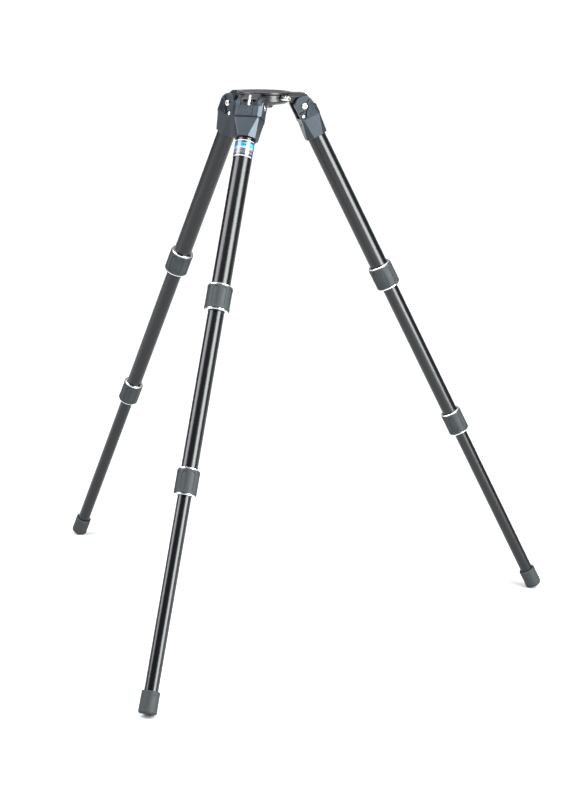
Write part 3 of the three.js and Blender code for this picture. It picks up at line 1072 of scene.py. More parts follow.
@dataclass
class Ferrule(LegPart):
    """Threaded ring bonded round a tube's end, inside the nut.

    Attributes:
        wall: thickness of the ring.
        pitch: pitch of its thread.
        thread: depth of its thread.
    """

    finish: Finish = Finish.ALUMINIUM
    wall: float = 1.3
    pitch: float = 1.5
    thread: float = 0.4

    def build(self) -> bpy.types.Object:
        """Turns the ring with its thread as grooves."""
        radius, low, high = MODEL_LEG.sleeve(self.node())
        bore = radius - self.wall
        profile = [(bore, high), (bore, low), (radius - self.thread, low)]
        turns = int((high - low - 5) / self.pitch)
        for i in range(turns):
            at = low + 0.6 + i * self.pitch
            profile += [(radius - self.thread, at), (radius, at + self.pitch / 2)]
        profile += [(radius - self.thread, low + 0.6 + turns * self.pitch), (radius, high - 3),
                    (radius, high - 0.4),
                    (radius - 0.4, high)]
        return soften(turned(self.stem, profile, hollow=True), 0.0)


# ---- Leg head, angle catch and their screws ----
@dataclass
class LegHead(LegPart):
    """Forked casting: two round cheeks on the hinge and a body that goes from square to eight-sided.

    Attributes:
        half_width: half its width over the cheeks.
        outward: reach towards the outer side.
        blend_out: the same where the body starts to narrow.
        seat: lower end of the catch's seat, down the leg.
        inward: reach towards the inner side.
        fork: half the width between the cheeks.
        fork_floor: floor of the fork, down the leg.
        blend: where the body starts to narrow.
        end: its lower end.
        tip: half its width at the lower end.
        tip_flat: half the width of a flat face there.
        shoulder_cut: corner cut where it starts to narrow.
        socket: radius of the tube's socket.
        socket_floor: where the socket ends.
        bolt_hole: radius of the hinge hole.
        recess: radius and depth of the pocket round the cheek screw.
        screw: (out, down) place of the cheek screw.
    """

    stem: str = "leg_head"
    finish: Finish = Finish.CASTING
    body: str = "leg"
    half_width: float = 20.0
    outward: float = 15.0
    blend_out: float = 17.0
    seat: float = 21.3
    inward: float = 13.0
    fork: float = 13.0
    fork_floor: float = 16.5
    blend: float = 22.0
    end: float = 51.0
    tip: float = 16.9
    tip_flat: float = 7.5
    shoulder_cut: float = 2.6
    socket: float = 14.25
    socket_floor: float = 26.0
    bolt_hole: float = 4.2
    recess: Point = (4.1, 2.4)
    screw: Point = (-8.0, 13.5)

    def build(self) -> bpy.types.Object:
        """Joins body and cheeks, and cuts the fork, the holes and the pockets."""
        body = self._body()
        combine(body, Cut.JOIN, self._cheeks())
        fork = block("fork", (-self.fork, -40, -self.fork_floor), (self.fork, 40, 40))
        socket = turned("socket", [(self.socket, -self.end - 1), (self.socket, -self.socket_floor)], 96)
        catch_seat = block("catch_seat", (-40, -40, -self.seat), (40, -self.outward, 40))
        combine(body, Cut.TAKE, catch_seat, fork, socket)
        combine(body, Cut.TAKE, *self._holes())
        return soften(body, 0.7, 3, 24, clamp=False)

    def _body(self) -> bpy.types.Object:
        """The part below the fork."""
        cut = self.tip - self.tip_flat
        return lofted("leg_head", [
            Section(-self.end, self.tip, self.tip, self.tip, cut),
            Section(-self.end + 1.5, self.tip, self.tip, self.tip, cut),
            Section(-self.blend, self.half_width, self.blend_out, self.inward, self.shoulder_cut),
            Section(-self.fork_floor + 3, self.half_width, self.blend_out, self.inward, 0.6),
        ], corner_steps=1)

    def _cheeks(self) -> bpy.types.Object:
        """The round part about the hinge, before the fork is cut."""
        top = arc((0, 0), self.outward, 180, 0, 40)
        top = [(max(-self.outward, min(self.inward, y)), z) for y, z in top]
        outline = [(-self.outward, -self.blend + 0.4)] + top + [(self.inward, -self.blend + 0.4)]
        return plate("cheeks", outline, Axis.X, -self.half_width, self.half_width)

    def _holes(self) -> list[bpy.types.Object]:
        """Cutters for the hinge, the screw, its pockets and the step beside each."""
        out, down = self.screw
        reach = self.half_width + 1
        hinge = turned("hinge_hole", [(self.bolt_hole, -reach), (self.bolt_hole, reach)], 48)
        moved(hinge, Axis.X.value)
        hole = turned("screw_hole", [(1.75, -reach), (1.75, reach)], 32)
        moved(hole, Axis.X.value, (0, -out, -down))
        radius, depth = self.recess
        pockets = []
        for sign in (-1, 1):
            floor = sign * (self.half_width - depth)
            pocket = turned("pocket", [(radius, min(floor, sign * reach)),
                                       (radius, max(floor, sign * reach))], 48)
            moved(pocket, Axis.X.value, (0, -out, -down))
            low, high = sorted((sign * (self.half_width - 0.9), sign * reach))
            slot_cut = block("step", (low, 3.6, -7.4), (high, self.inward + 1, -6.6))
            pockets += [pocket, slot_cut]
        return [hinge, hole, *pockets]


@dataclass
class AngleCatch(LegPart):
    """Sliding catch: a bar across the outer face, a ridged wing over each cheek and a tooth.

    Attributes:
        start: upper end of the bar, down the leg.
        end: lower end of the bar.
        inner: the bar's inner face, outward from the hinge.
        outer: the bar's outer face.
        face: half the width of its flat middle.
        inside: half the width between the wings.
        wing: thickness of a wing.
        tooth: half the width of the tooth.
        ridge_pitch: pitch of the wing's grooves.
        grooves: how many grooves there are.
        groove: (width, depth) of a groove.
    """

    stem: str = "angle_catch"
    finish: Finish = Finish.CASTING
    body: str = "catch"
    start: float = 3.5
    end: float = 21.0
    inner: float = 15.3
    outer: float = 18.0
    face: float = 17.0
    inside: float = 20.3
    wing: float = 2.2
    tooth: float = 11.0
    ridge_pitch: float = 2.6
    grooves: int = 7
    groove: Point = (1.25, 1.1)

    def build(self) -> bpy.types.Object:
        """Joins bar, wings and tooth, and cuts the ridges and the panel."""
        reach = self.inside + self.wing
        bar = plate(self.stem, [(-self.inner, -self.start), (-self.inner, -self.end),
                                (-self.outer + 1.2, -self.end),
                                (-self.outer, -self.end + 1.2), (-self.outer, -self.start - 1.2),
                                (-self.outer + 1.2, -self.start)], Axis.X, -reach, reach)
        combine(bar, Cut.JOIN, *self._wings(reach))
        combine(bar, Cut.TAKE, *self._corners(reach))
        combine(bar, Cut.JOIN, self._tooth())
        relief = block("relief", (-self.inside, -self.inner, -30), (self.inside, self.inner, -self.end + 4.5))
        combine(bar, Cut.TAKE, relief)
        soften(bar, 0.45, 2, 30, clamp=False)
        combine(bar, Cut.TAKE, self._ridges(reach), *self._panel())
        return soften(bar, 0.12, 1, 30, clamp=False)

    def _wings(self, reach: float) -> list[bpy.types.Object]:
        """The two plates over the cheeks."""
        edge = -self.outer + 0.7
        outline = [(-5.8, 3.5), (-12.6, 6), (-14.8, 1), (edge, -self.start), (edge, -self.end + 1),
                   (2, -self.end + 3),
                   (3, -14), (0, -7), (-4.6, -5.2), (-5.6, -2)]
        outline.reverse()
        return [plate("wing", outline, Axis.X, low, high) for low, high in
                ((-reach, -self.inside), (self.inside, reach))]

    def _corners(self, reach: float) -> list[bpy.types.Object]:
        """Wedges that slope the bar back from its flat middle to the wings."""
        far, face = reach + 1, -self.outer - 0.01
        wedges = []
        for sign in (-1, 1):
            outline = [(sign * self.face, face), (sign * far, face),
                       (sign * far, face + (far - self.face) * 0.75)]
            wedges.append(plate("wedge", outline if sign > 0 else outline[::-1], Axis.Z, -35, 5))
        return wedges

    def _tooth(self) -> bpy.types.Object:
        """The block that stands under the arm's stop."""
        top, foot = -self.start - 0.5, -14.0
        return block("tooth", (-self.tooth, -self.inner - 1, foot), (self.tooth, -self.inner + 3, top))

    def _ridges(self, reach: float) -> bpy.types.Object:
        """The grooves in both wings, as one cutter."""
        width, depth = self.groove
        cutters = []
        for sign in (-1, 1):
            low, high = sorted((sign * (reach - depth), sign * (reach + 2)))
            for i in range(self.grooves):
                out = 0.2 + i * self.ridge_pitch
                top = -6.6 if out < 5.5 else 1.5
                cutters.append(block("groove", (low, -out - width / 2, -17.6), (high, -out + width / 2, top)))
        return gathered("grooves", cutters)

    def _panel(self) -> list[bpy.types.Object]:
        """A shallow field on the bar's face with plain ribs left standing, and the notch beside it."""
        face = -self.outer
        field_cut = block("field", (-14.6, face - 1, -18.0), (5.6, face + 0.45, -6.8))
        ribs = gathered("ribs", [block("rib", (-12.4 + i * 3.1, face - 2, -16.6), (-11.2 + i * 3.1, face + 2,
                                                                                   -8.2))
                                 for i in range(6)])
        combine(field_cut, Cut.TAKE, ribs)
        notch = block("notch", (8.4, face - 1, -self.end - 1), (9.3, face + 0.9, -self.start + 1))
        return [field_cut, notch]


@dataclass
class BoltEnd(LegPart):
    """One end of the hinge: a domed round head with a six-sided socket.

    Attributes:
        side: +1 for the bolt, -1 for the nut.
        head: (radius, thickness) of the head.
        seat_at: the head's inner face along the hinge.
        shank: (radius, far end) of the shank.
        drive: size of the socket across its flats.
    """

    finish: Finish = Finish.STEEL
    body: str = "leg"
    side: int = 1
    head: Point = (4.6, 2.0)
    seat_at: float = 20.3
    shank: Point = (4.0, -17.0)
    drive: float = 4.0

    def build(self) -> bpy.types.Object:
        """Turns the head and shank, cuts the socket and lays it along the hinge."""
        radius, thickness = self.head
        top = self.seat_at + thickness
        shank, far = self.shank
        profile = [(shank - 0.4, far), (shank, far + 0.4), (shank, self.seat_at), (radius, self.seat_at),
                   (radius, top - 0.8), (radius - 0.25, top - 0.35), (radius - 0.8, top)]
        bolt = turned(self.stem, profile, 64)
        socket = hex_socket(self.drive, top - 1.5, top + 1)
        combine(bolt, Cut.TAKE, socket)
        soften(bolt, 0.15, 2, 30)
        moved(bolt, Axis.X.value)
        return moved(bolt, (0, 0, math.pi)) if self.side < 0 else bolt


@dataclass
class CheekScrew(LegPart):
    """Cross screw low in the cheeks, with a sunk head in each pocket.

    Attributes:
        at: (out, down) place of its axis.
        radius: radius of its shank.
        head: radius of its heads.
        face: where a head's face lies along the hinge direction.
    """

    stem: str = "cheek_screw"
    finish: Finish = Finish.STEEL
    body: str = "leg"
    at: Point = (-8.0, 13.5)
    radius: float = 1.6
    head: float = 2.9
    face: float = 18.9

    def build(self) -> bpy.types.Object:
        """Turns the screw with both its heads and cuts their sockets."""
        seat, face = self.face - 1.2, self.face
        half = [(self.radius, seat), (self.head, seat), (self.head, face - 0.4), (self.head - 0.5, face)]
        profile = [(r, -z) for r, z in reversed(half)] + half
        screw = turned(self.stem, profile, 48)
        for low, high in ((face - 1.0, face + 1), (-face - 1, -face + 1.0)):
            combine(screw, Cut.TAKE, hex_socket(3.2, low, high))
        soften(screw, 0.1, 2, 30)
        out, down = self.at
        moved(screw, Axis.X.value, (0, -out, -down))
        return screw


@dataclass
class StopPin(LegPart):
    """Bright pin in the arm's end face, with a collar and rounded ends."""

    stem: str = "stop_pin"
    finish: Finish = Finish.STEEL
    body: str = "head"

    def build(self) -> bpy.types.Object:
        """Turns the pin and stands it in its groove."""
        low, high = MODEL_LEG.box(self.node())
        radius = (high.x - low.x) / 2
        neck = radius - 0.35
        profile = [(radius - 0.6, low.z), (radius, low.z + 0.6), (radius, low.z + 6), (neck, low.z + 6.3),
                   (neck, low.z + 8.4), (radius, low.z + 8.7), (radius, high.z - 0.6), (radius - 0.6, high.z)]
        pin = turned(self.stem, profile, 48)
        moved(pin, Axis.Z.value, (0, (low.y + high.y) / 2, 0))
        return soften(pin, 0.0)


@dataclass
class FrontLabel(LegPart):
    """Curved film round the outer side of the front leg's top tube."""

    stem: str = "front_label"
    finish: Finish = Finish.LABEL
    body: str = "leg"
    sides: Sequence[Side] = (Side.FRONT,)

    def node(self) -> str:
        """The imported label, which has no side in its name."""
        return self.stem

    def build(self) -> bpy.types.Object:
        """Turns a sleeve and cuts away its inner side."""
        low, high = MODEL_LEG.box(self.node())
        outer = -low.y
        inner = outer - 0.5
        sleeve = turned(self.stem, [(inner, high.z), (inner, low.z), (outer, low.z), (outer, high.z)], 120,
                        hollow=True)
        behind = block("behind", (-40, high.y, low.z - 5), (40, 40, high.z + 5))
        combine(sleeve, Cut.TAKE, behind)
        return soften(sleeve, 0.08, 2, 40)


# ---- Head ----
@dataclass
class Shoulder:
    """Head casting: a hub with a well for the camera screw's knob, and three arms.

    Attributes:
        hub: radius of the hub.
        hub_top: its upper face.
        edge: where its wall meets its underside.
        foot: lowest rim.
        under: its flat underside.
        screws: (how many, radius of their circle, radius of a head) of the small screws in the underside.
        well: (radius, roof) of the knob's well.
        bore: radius of the camera screw's hole.
        arm: half the width of an arm.
        arm_top: upper face of an arm.
        arm_step: where the arm rises beyond the plate's edge.
        pivot: (radius, height) of a hinge.
        boss: radius of the round boss on a hinge.
        spread: slope of the stop block's face, in degrees.
        lock: (azimuth in degrees from -Y, height) of the lock screw's hole.
    """

    hub: float = 38.0
    hub_top: float = 807.6
    edge: float = 797.0
    foot: float = 791.0
    under: float = 793.6
    screws: tuple[int, float, float] = (9, 29.0, 1.7)
    well: Point = (15.0, 802.0)
    bore: float = 4.0
    arm: float = 12.5
    arm_top: float = 810.0
    arm_step: float = 40.6
    pivot: Point = (58.3, 790.7)
    boss: float = 10.5
    spread: float = 27.8
    lock: Point = (60.0, 803.6)

    def build(self) -> bpy.types.Object:
        """Joins the hub and three arms, and cuts the well and the lock screw's hole."""
        arms = [self._arm()]
        for turn in (120, 240):
            arms.append(moved(copied(arms[0], "arm"), (0, 0, math.radians(turn))))
        hub = self._hub()
        combine(hub, Cut.JOIN, *arms)
        radius, roof = self.well
        well = turned("well", [(radius, self.foot - 5), (radius, roof)], 96)
        combine(hub, Cut.TAKE, well, self._screw_hole())
        return soften(hub, 0.5, 2, 26, clamp=False)

    def _hub(self) -> bpy.types.Object:
        """The turned middle."""
        well, _ = self.well
        profile = [(self.bore, self.foot + 2), (well + 2, self.foot), (well + 4.0, self.foot + 0.8),
                   (well + 5.0, self.under), (self.hub - 5.4, self.under), (self.hub - 1.0, self.edge - 0.6),
                   (self.hub, self.edge + 0.6), (self.hub, self.hub_top - 0.8), (self.hub - 0.8,
                                                                                 self.hub_top),
                   (self.bore, self.hub_top)]
        return turned("shoulder_casting", profile, 144, hollow=True)

    def _from_leg(self, out: float, down: float) -> Point:
        """Carries (out, down the leg) from the hinge to (y, height) on the head's bench."""
        slope = math.radians(self.spread)
        radius = self.pivot[0] + out * math.cos(slope) + down * math.sin(slope)
        height = self.pivot[1] + out * math.sin(slope) - down * math.cos(slope)
        return -radius, height

    def _arm(self) -> bpy.types.Object:
        """One arm towards -Y: beam, boss and stop block, with its holes and pockets."""
        beam = [(-30, 797), (-48.5, 794), (-58, 790), (-60, 809.2), (-59.2, self.arm_top),
                (-self.arm_step, self.arm_top),
                (-self.arm_step, self.hub_top - 0.2), (-30, self.hub_top - 0.2)]
        stop = [self._from_leg(0, 3.7), self._from_leg(13.5, 3.7), self._from_leg(13.5, -9),
                self._from_leg(11.8, -14.5), (-60, self.arm_top), (-56, self.pivot[1] + 4)]
        arm = plate("arm", beam, Axis.X, -self.arm, self.arm)
        boss = turned("boss", [(self.boss, -self.arm), (self.boss, self.arm)], 72)
        moved(boss, Axis.X.value, (0, -self.pivot[0], self.pivot[1]))
        combine(arm, Cut.JOIN, boss, plate("stop", stop, Axis.X, -self.arm, self.arm))
        hinge = turned("hinge", [(4.3, -20), (4.3, 20)], 48)
        moved(hinge, Axis.X.value, (0, -self.pivot[0], self.pivot[1]))
        combine(arm, Cut.TAKE, hinge, *self._end_pockets(), self._belly(), *self._flanks())
        return arm

    def _on_stop(self, tool: bpy.types.Object) -> bpy.types.Object:
        """Carries a cutter from the leg's bench to the arm's stop face."""
        radius, height = self.pivot
        return moved(tool, (-math.radians(self.spread), 0, 0), (0, -radius, height))

    def _end_pockets(self) -> list[bpy.types.Object]:
        """The pin's groove and the two square pockets beside it."""
        groove = turned("groove", [(1.95, -2.9), (1.95, 13.9)], 32)
        moved(groove, Axis.Z.value, (0, -13.1, 0))
        cutters = [groove]
        for sign in (-1, 1):
            low, high = sorted((sign * 3.6, sign * 9.6))
            pocket = block("pocket", (low, -16, -0.4), (high, -10.6, 6.4))
            cutters.append(soften(pocket, 0.8, 3))
        return [self._on_stop(cutter) for cutter in cutters]

    def _belly(self) -> bpy.types.Object:
        """The hollow under the beam."""
        outline = [(-51, 790), (-49, 801), (-38, 803), (-32, 790)]
        return plate("belly", outline, Axis.X, -self.arm + 4, self.arm - 4)

    def _flanks(self) -> list[bpy.types.Object]:
        """Wedges that narrow the arm towards its top."""
        wide, top = self.arm + 1, self.arm_top + 1
        wedges = []
        for sign in (-1, 1):
            outline = [(sign * (self.arm - 4.2), top), (sign * wide, top), (sign * wide, top - 8.5)]
            wedges.append(plate("flank", outline if sign > 0 else outline[::-1], Axis.Y, -90, -36))
        return wedges

    def _screw_hole(self) -> bpy.types.Object:
        """The radial hole for the lock screw."""
        hole = turned("lock_hole", [(2.3, 27.7), (2.3, 42)], 32)
        moved(hole, Axis.Y.value)
        azimuth, height = self.lock
        return moved(hole, (0, 0, math.radians(180 + azimuth)), (0, 0, height))

    def build_screws(self) -> bpy.types.Object:
        """Turns one small screw head and sets copies of it round the underside."""
        count, circle, wide = self.screws
        low = self.under - 0.7
        head = turned("hub_screws_look", [(wide - 0.5, low), (wide, low + 0.5), (wide, self.under + 1.5)], 32)
        combine(head, Cut.TAKE, hex_socket(wide, low - 1, low + 0.8))
        moved(head, Axis.Z.value, (0, -circle, 0))
        return ringed(head, count, 180 / count)

    def fit(self) -> None:
        """Makes the casting and its screws and seats them."""
        piece = self.build()
        piece.name = piece.data.name = "shoulder_casting_look"
        seat_piece(piece, HEAD, Finish.HEAD, "head", "shoulder_casting")
        seat_piece(self.build_screws(), HEAD, Finish.STEEL, "head")


@dataclass
class TopPlate:
    """Round plate for a camera, with a turned rim and a ribbed rubber pad let into it.

    Attributes:
        radius: of the plate.
        base: its underside.
        top: its upper face.
        pad: (radius, top) of the pad.
        recess: floor of the pad's recess.
        bore: radius of the hole for the camera screw.
        ribs: how many rings the pad has.
    """

    radius: float = 40.0
    base: float = 807.9
    top: float = 811.5
    pad: Point = (31.0, 811.9)
    recess: float = 810.1
    bore: float = 4.0
    ribs: int = 9

    def build_plate(self) -> bpy.types.Object:
        """Turns the plate."""
        wide, bed = self.radius, self.pad[0] + 0.3
        profile = [(self.bore, self.recess), (self.bore, self.base), (wide - 1.0, self.base),
                   (wide - 0.2, self.base + 0.7), (wide - 0.2, self.base + 1.1), (wide, self.base + 1.4),
                   (wide, self.top - 0.9), (wide - 0.3, self.top - 0.35), (wide - 0.9, self.top),
                   (bed, self.top), (bed, self.recess)]
        return soften(turned("top_plate_look", profile, 160, hollow=True), 0.12, 2, 30)

    def build_pad(self) -> bpy.types.Object:
        """Turns the pad with its rings."""
        radius, top = self.pad
        bore, base = self.bore + 1, self.recess + 0.3
        profile = [(bore, top - 0.2), (bore, base), (radius - 0.1, base), (radius, base + 0.2),
                   (radius, top - 0.3),
                   (radius - 0.3, top)]
        pitch = (radius - bore - 3) / self.ribs
        for i in range(self.ribs):
            at = radius - 1.5 - i * pitch
            profile += [(at, top), (at - 0.3, top - 0.45), (at - 0.9, top - 0.45), (at - 1.2, top)]
        profile.append((bore + 0.3, top))
        return soften(turned("top_pad_look", profile, 128, hollow=True), 0.0)

    def fit(self) -> None:
        """Makes both and seats them."""
        seat_piece(self.build_plate(), HEAD, Finish.HEAD, "head", "top_plate")
        seat_piece(self.build_pad(), HEAD, Finish.PAD, "head", "top_pad")


@dataclass
class CameraScrew:
    """Captive screw: a knob with finger flutes below the hub and a threaded stud above it.

    Attributes:
        knob: (radius, height) of the knob.
        foot: its lower face.
        stud: (radius, top) of the stud.
        flutes: finger flutes round the knob.
        pitch: of the thread.
    """

    knob: Point = (14.0, 5.5)
    foot: float = 787.5
    stud: Point = (3.17, 809.1)
    flutes: int = 18
    pitch: float = 1.27

    def build_knob(self) -> bpy.types.Object:
        """Turns the knob and cuts its finger flutes and coin slot."""
        radius, height = self.knob
        stud, _ = self.stud
        top = self.foot + height
        profile = [(9.0, self.foot + 0.8), (9.6, self.foot), (radius - 0.9, self.foot),
                   (radius, self.foot + 0.9),
                   (radius, top - 0.7), (radius - 0.7, top), (stud + 2, top)]
        knob = turned("camera_knob_look", profile, 128)
        flute = turned("finger", [(1.0, self.foot - 1), (1.0, top + 0.2)], 24)
        moved(flute, Axis.Z.value, (0, -radius - 0.35, 0))
        slot_cut = block("coin_slot", (-7.5, -0.9, self.foot - 1), (7.5, 0.9, self.foot + 2.4))
        combine(knob, Cut.TAKE, ringed(flute, self.flutes), slot_cut)
        return soften(knob, 0.12, 2, 32)

    def build_stud(self) -> bpy.types.Object:
        """Turns the threaded stud."""
        stud, tip = self.stud
        base = self.foot + self.knob[1] - 1
        profile = [(stud, base), (stud, base + 2.5)]
        turns = int((tip - base - 4) / self.pitch)
        for i in range(turns):
            at = base + 2.8 + i * self.pitch
            profile += [(stud - 0.5, at), (stud, at + self.pitch / 2)]
        profile += [(stud - 0.5, tip - 0.7), (stud - 1.0, tip)]
        return soften(turned("camera_stud_look", profile, 64), 0.0)

    def fit(self) -> None:
        """Makes knob and stud and seats them."""
        seat_piece(self.build_knob(), HEAD, Finish.HEAD, "camera_screw")
        seat_piece(self.build_stud(), HEAD, Finish.STEEL, "camera_screw", "camera_screw")


@dataclass
class ClampScrew:
    """Radial lock screw in the hub: a long head, with a groove round it and a six-sided socket in its end.

    Attributes:
        radius: of the head.
        shank: radius of the shank.
        inner: the shank's end, from the head's centre line.
        shoulder: where the screw's head starts.
        outer: its outer end.
        height: of its axis.
        azimuth: direction that it points in, in degrees from -Y.
        drive: size of its socket across the flats.
    """

    radius: float = 3.7
    shank: float = 2.0
    inner: float = 28.0
    shoulder: float = 38.6
    outer: float = 56.0
    height: float = 803.6
    azimuth: float = 60.0
    drive: float = 4.0

    def build(self) -> bpy.types.Object:
        """Turns the screw about Z, pointing up, and cuts its socket."""
        wide = self.radius
        profile = [(self.shank - 0.3, self.inner), (self.shank, self.inner + 0.3),
                   (self.shank, self.shoulder),
                   (wide - 0.3, self.shoulder), (wide, self.shoulder + 0.3), (wide, self.outer - 6.4),
                   (wide - 0.5, self.outer - 6.0), (wide - 0.5, self.outer - 5.2), (wide, self.outer - 4.8),
                   (wide, self.outer - 0.6), (wide - 0.6, self.outer)]
        screw = turned("clamp_screw_look", profile, 72)
        combine(screw, Cut.TAKE, hex_socket(self.drive, self.outer - 3.2, self.outer + 1))
        return soften(screw, 0.12, 2, 30)

    def fit(self) -> None:
        """Makes the screw and seats it on its own bench."""
        aim = Matrix.Rotation(math.radians(self.azimuth), 4, "Z") @ Matrix.Rotation(math.pi / 2, 4, "X")
        seat = Seat(HEAD.matrix @ Matrix.Translation(Vector((0, 0, self.height)) * MM) @ aim)
        seat_piece(self.build(), seat, Finish.STEEL, "clamp_screw", "clamp_screw")


@dataclass
class Collets:
    """The split rings inside the locks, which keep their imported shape."""

    stems: Sequence[str] = ("upper_collet", "lower_collet")

    def fit(self) -> None:
        """Gives every collet its material."""
        for stem in self.stems:
            for side in Side:
                obj = frame["nodes"][f"{stem}_{side.value}"]
                obj.data.materials.clear()
                obj.data.materials.append(FINISHES[Finish.NYLON])
                LOG.info("%s keeps its packed shape", obj.name)


# ---- Studio ----
@dataclass(frozen=True)
class Softbox:
    """A rectangular light that faces the tripod's middle.

    Attributes:
        name: its name.
        azimuth: direction that it stands in, in degrees from -Y towards +X.
        elevation: degrees above the horizon.
        distance: metres from the point that it faces.
        size: (width, height) in metres.
        power: in watts.
        colour: of the light.
    """

    name: str
    azimuth: float
    elevation: float
    distance: float
    size: Point
    power: float
    colour: Colour = (1.0, 1.0, 1.0)

    def place(self, target: Vector) -> None:
        """Creates the light.

        Args:
            target: the point that it faces.
        """
        data = bpy.data.lights.new(self.name, "AREA")
        data.shape = "RECTANGLE"
        data.size, data.size_y = self.size
        data.energy = self.power
        data.color = self.colour
        lamp = bpy.data.objects.new(self.name, data)
        bpy.context.collection.objects.link(lamp)
        side, lift = math.radians(self.azimuth), math.radians(self.elevation)
        away = Vector((math.sin(side) * math.cos(lift), -math.cos(side) * math.cos(lift), math.sin(lift)))
        lamp.location = target + away * self.distance
        lamp.rotation_euler = (-away).to_track_quat("-Z", "Y").to_euler()


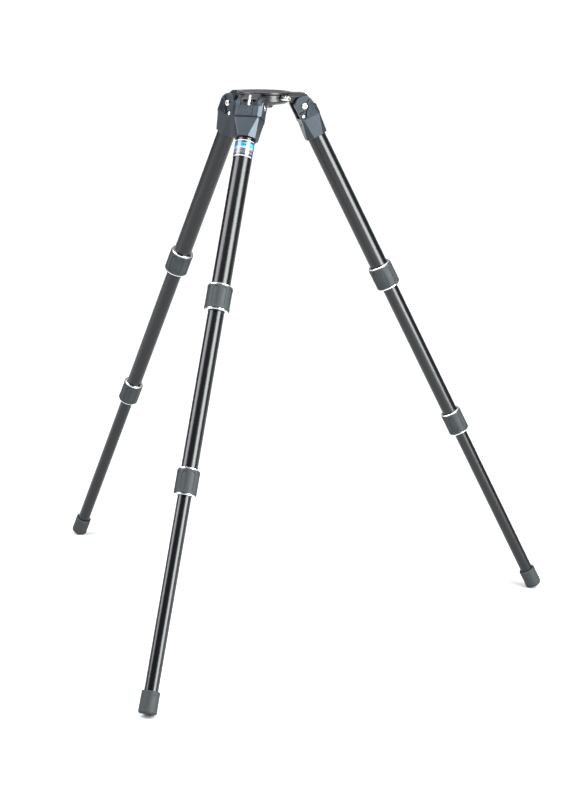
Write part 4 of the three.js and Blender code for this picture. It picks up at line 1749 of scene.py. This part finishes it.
@dataclass
class Studio:
    """Pale floor with painted shade round the tripod, soft light and the camera.

    Attributes:
        floor_size: side of the floor in metres.
        floor_shade_reach: how far from the tripod the painted shade is at its darkest and the floor at its
            palest, in millimetres.
        target: the point that the lights face.
        boxes: the lights.
        sky: (sine of the elevation, brightness) of the dark walls and of the bright ceiling, as the tripod
            sees them; the camera sees only a pale backdrop above the floor.
        wall: how far round the pale wall behind the tripod keeps its full brightness, how far round it
            reaches, both in degrees from +Y, and its brightness.
        world_strength: brightness of the surroundings.
        lens: focal length in millimetres, on a sensor 36 mm wide.
        view_from: where the camera stands on the head's bench, in millimetres.
        aim: its yaw from +Y, its pitch and its roll, in degrees.
    """

    floor_size: float = 600.0
    floor_shade_reach: Point = (800.0, 4500.0)
    target: Vector = field(default_factory=lambda: Vector((0.0, 0.1, 0.45)))
    boxes: Sequence[Softbox] = (
        Softbox("left_box", -60, 35, 2.6, (1.6, 2.8), 165, (0.93, 0.93, 1.0)),
        Softbox("right_box", 68, 22, 2.6, (1.5, 2.8), 290, (0.96, 1.0, 1.0)),
    )
    sky: Sequence[Point] = ((0.76, 0.02), (0.86, 1.0))
    wall: tuple[float, float, float] = (32.0, 48.0, 0.2)
    world_strength: float = 3.1
    lens: float = 79.74
    view_from: tuple[float, float, float] = (817.9, -2554.8, 989.3)
    aim: tuple[float, float, float] = (16.96, -13.672, 1.122)

    def build(self) -> None:
        """Sets out the floor, the surroundings, the lights and the camera."""
        self._floor()
        self._surroundings()
        bpy.context.scene.view_settings.view_transform = "Standard"
        for box in self.boxes:
            box.place(self.target)
        self._camera()

    def _surroundings(self) -> None:
        """Dark walls, a bright ceiling and one pale wall, which the camera sees as a plain backdrop."""
        world = bpy.data.worlds.new("surroundings")
        world.use_nodes = True
        nodes, links = world.node_tree.nodes, world.node_tree.links
        background = nodes["Background"]
        background.inputs["Strength"].default_value = self.world_strength
        split = nodes.new("ShaderNodeSeparateXYZ")
        shade = nodes.new("ShaderNodeValToRGB")
        for element, (height, level) in zip(shade.color_ramp.elements, self.sky):
            element.position = height
            element.color = (level, level, level, 1.0)
        links.new(nodes.new("ShaderNodeTexCoord").outputs["Generated"], split.inputs[0])
        links.new(split.outputs["Z"], shade.inputs[0])
        wall = nodes.new("ShaderNodeMapRange")
        nearest, widest, level = self.wall
        wall.inputs["From Min"].default_value = math.cos(math.radians(widest))
        wall.inputs["From Max"].default_value = math.cos(math.radians(nearest))
        wall.inputs["To Max"].default_value = level
        links.new(split.outputs["Y"], wall.inputs["Value"])
        brightest = shade.outputs[0]
        for other in (wall.outputs[0], nodes.new("ShaderNodeLightPath").outputs["Is Camera Ray"]):
            most = nodes.new("ShaderNodeMath")
            most.operation = "MAXIMUM"
            links.new(brightest, most.inputs[0])
            links.new(other, most.inputs[1])
            brightest = most.outputs[0]
        links.new(brightest, background.inputs["Color"])
        bpy.context.scene.world = world

    def _floor(self) -> None:
        """A pale floor with a faint unevenness, and painted shade round the tripod that darkens what the legs
        reflect of it.
        """
        deselect()
        bpy.ops.mesh.primitive_plane_add(size=self.floor_size, location=(0, 0, 0))
        floor = adopt("studio_floor")
        recipe = Recipe("floor_paint", on_bench=False)
        recipe.set(Specular_IOR_Level=0.1, Roughness=0.9)
        reach = recipe.nodes.new("ShaderNodeVectorMath")
        reach.operation = "LENGTH"
        recipe.links.new(recipe.place, reach.inputs[0])
        near, far = self.floor_shade_reach
        away = recipe.math("MULTIPLY_ADD", reach.outputs["Value"], 1 / (far - near), -near / (far - near))
        cloud = recipe.mix(recipe.noise(400, 2), (0.93, 0.93, 0.93), (0.95, 0.95, 0.95))
        # Painted shade: mid grey near the tripod, fading to the pale floor colour further out, so the legs
        # reflect a darker floor.
        recipe.feed("Base Color", recipe.mix(away, (0.5, 0.5, 0.5), cloud))
        floor.data.materials.append(recipe.material)

    def _camera(self) -> None:
        """A long lens at a little over the tripod's height."""
        data = bpy.data.cameras.new("studio_camera")
        data.lens = self.lens
        data.sensor_width = 36.0
        data.clip_end = 100.0
        camera = bpy.data.objects.new("studio_camera", data)
        bpy.context.collection.objects.link(camera)
        yaw, pitch, roll = (math.radians(a) for a in self.aim)
        ahead = Vector((-math.sin(yaw) * math.cos(pitch), math.cos(yaw) * math.cos(pitch), math.sin(pitch)))
        level = Vector((math.cos(yaw), math.sin(yaw), 0.0))
        upright = level.cross(ahead)
        across = math.cos(roll) * level + math.sin(roll) * upright
        above = math.cos(roll) * upright - math.sin(roll) * level
        turn = Matrix((across, above, -ahead)).transposed().to_4x4()
        camera.matrix_world = Matrix.Translation(HEAD.matrix @ (Vector(self.view_from) * MM)) @ turn
        bpy.context.scene.camera = camera


# ---- The whole tripod ----
@dataclass
class Tripod:
    """All the sub-assemblies, in the order that they are fitted."""

    parts: Sequence[object] = field(default_factory=lambda: (
        Shoulder(),
        TopPlate(),
        CameraScrew(),
        ClampScrew(),
        LegHead(),
        AngleCatch(),
        BoltEnd("hinge_bolt"),
        BoltEnd("hinge_nut", side=-1, shank=(4.0, 17.8)),
        CheekScrew(),
        StopPin(),
        Tube("top_tube", body="leg"),
        Tube("mid_tube", body="mid", bush=14.0),
        Tube("bottom_tube", body="bottom", bush=14.0),
        RubberFoot(),
        LockGrip("upper_grip", body="upper_lock"),
        LockNut("upper_nut", body="upper_lock"),
        Ferrule("upper_ferrule", body="leg"),
        LockGrip("lower_grip", body="lower_lock", flutes=9),
        LockNut("lower_nut", body="lower_lock", skin=14.6, mouth=10.3, bore=13.9),
        Ferrule("lower_ferrule", body="mid"),
        FrontLabel(),
        Collets(),
    ))

    def fit(self) -> None:
        """Fits every sub-assembly."""
        for part in self.parts:
            part.fit()


def main() -> None:
    """Builds the studio and the tripod."""
    logging.basicConfig(level=logging.INFO, format="%(name)s: %(message)s")
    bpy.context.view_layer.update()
    Studio().build()
    Tripod().fit()


if __name__ == "__main__":
    main()
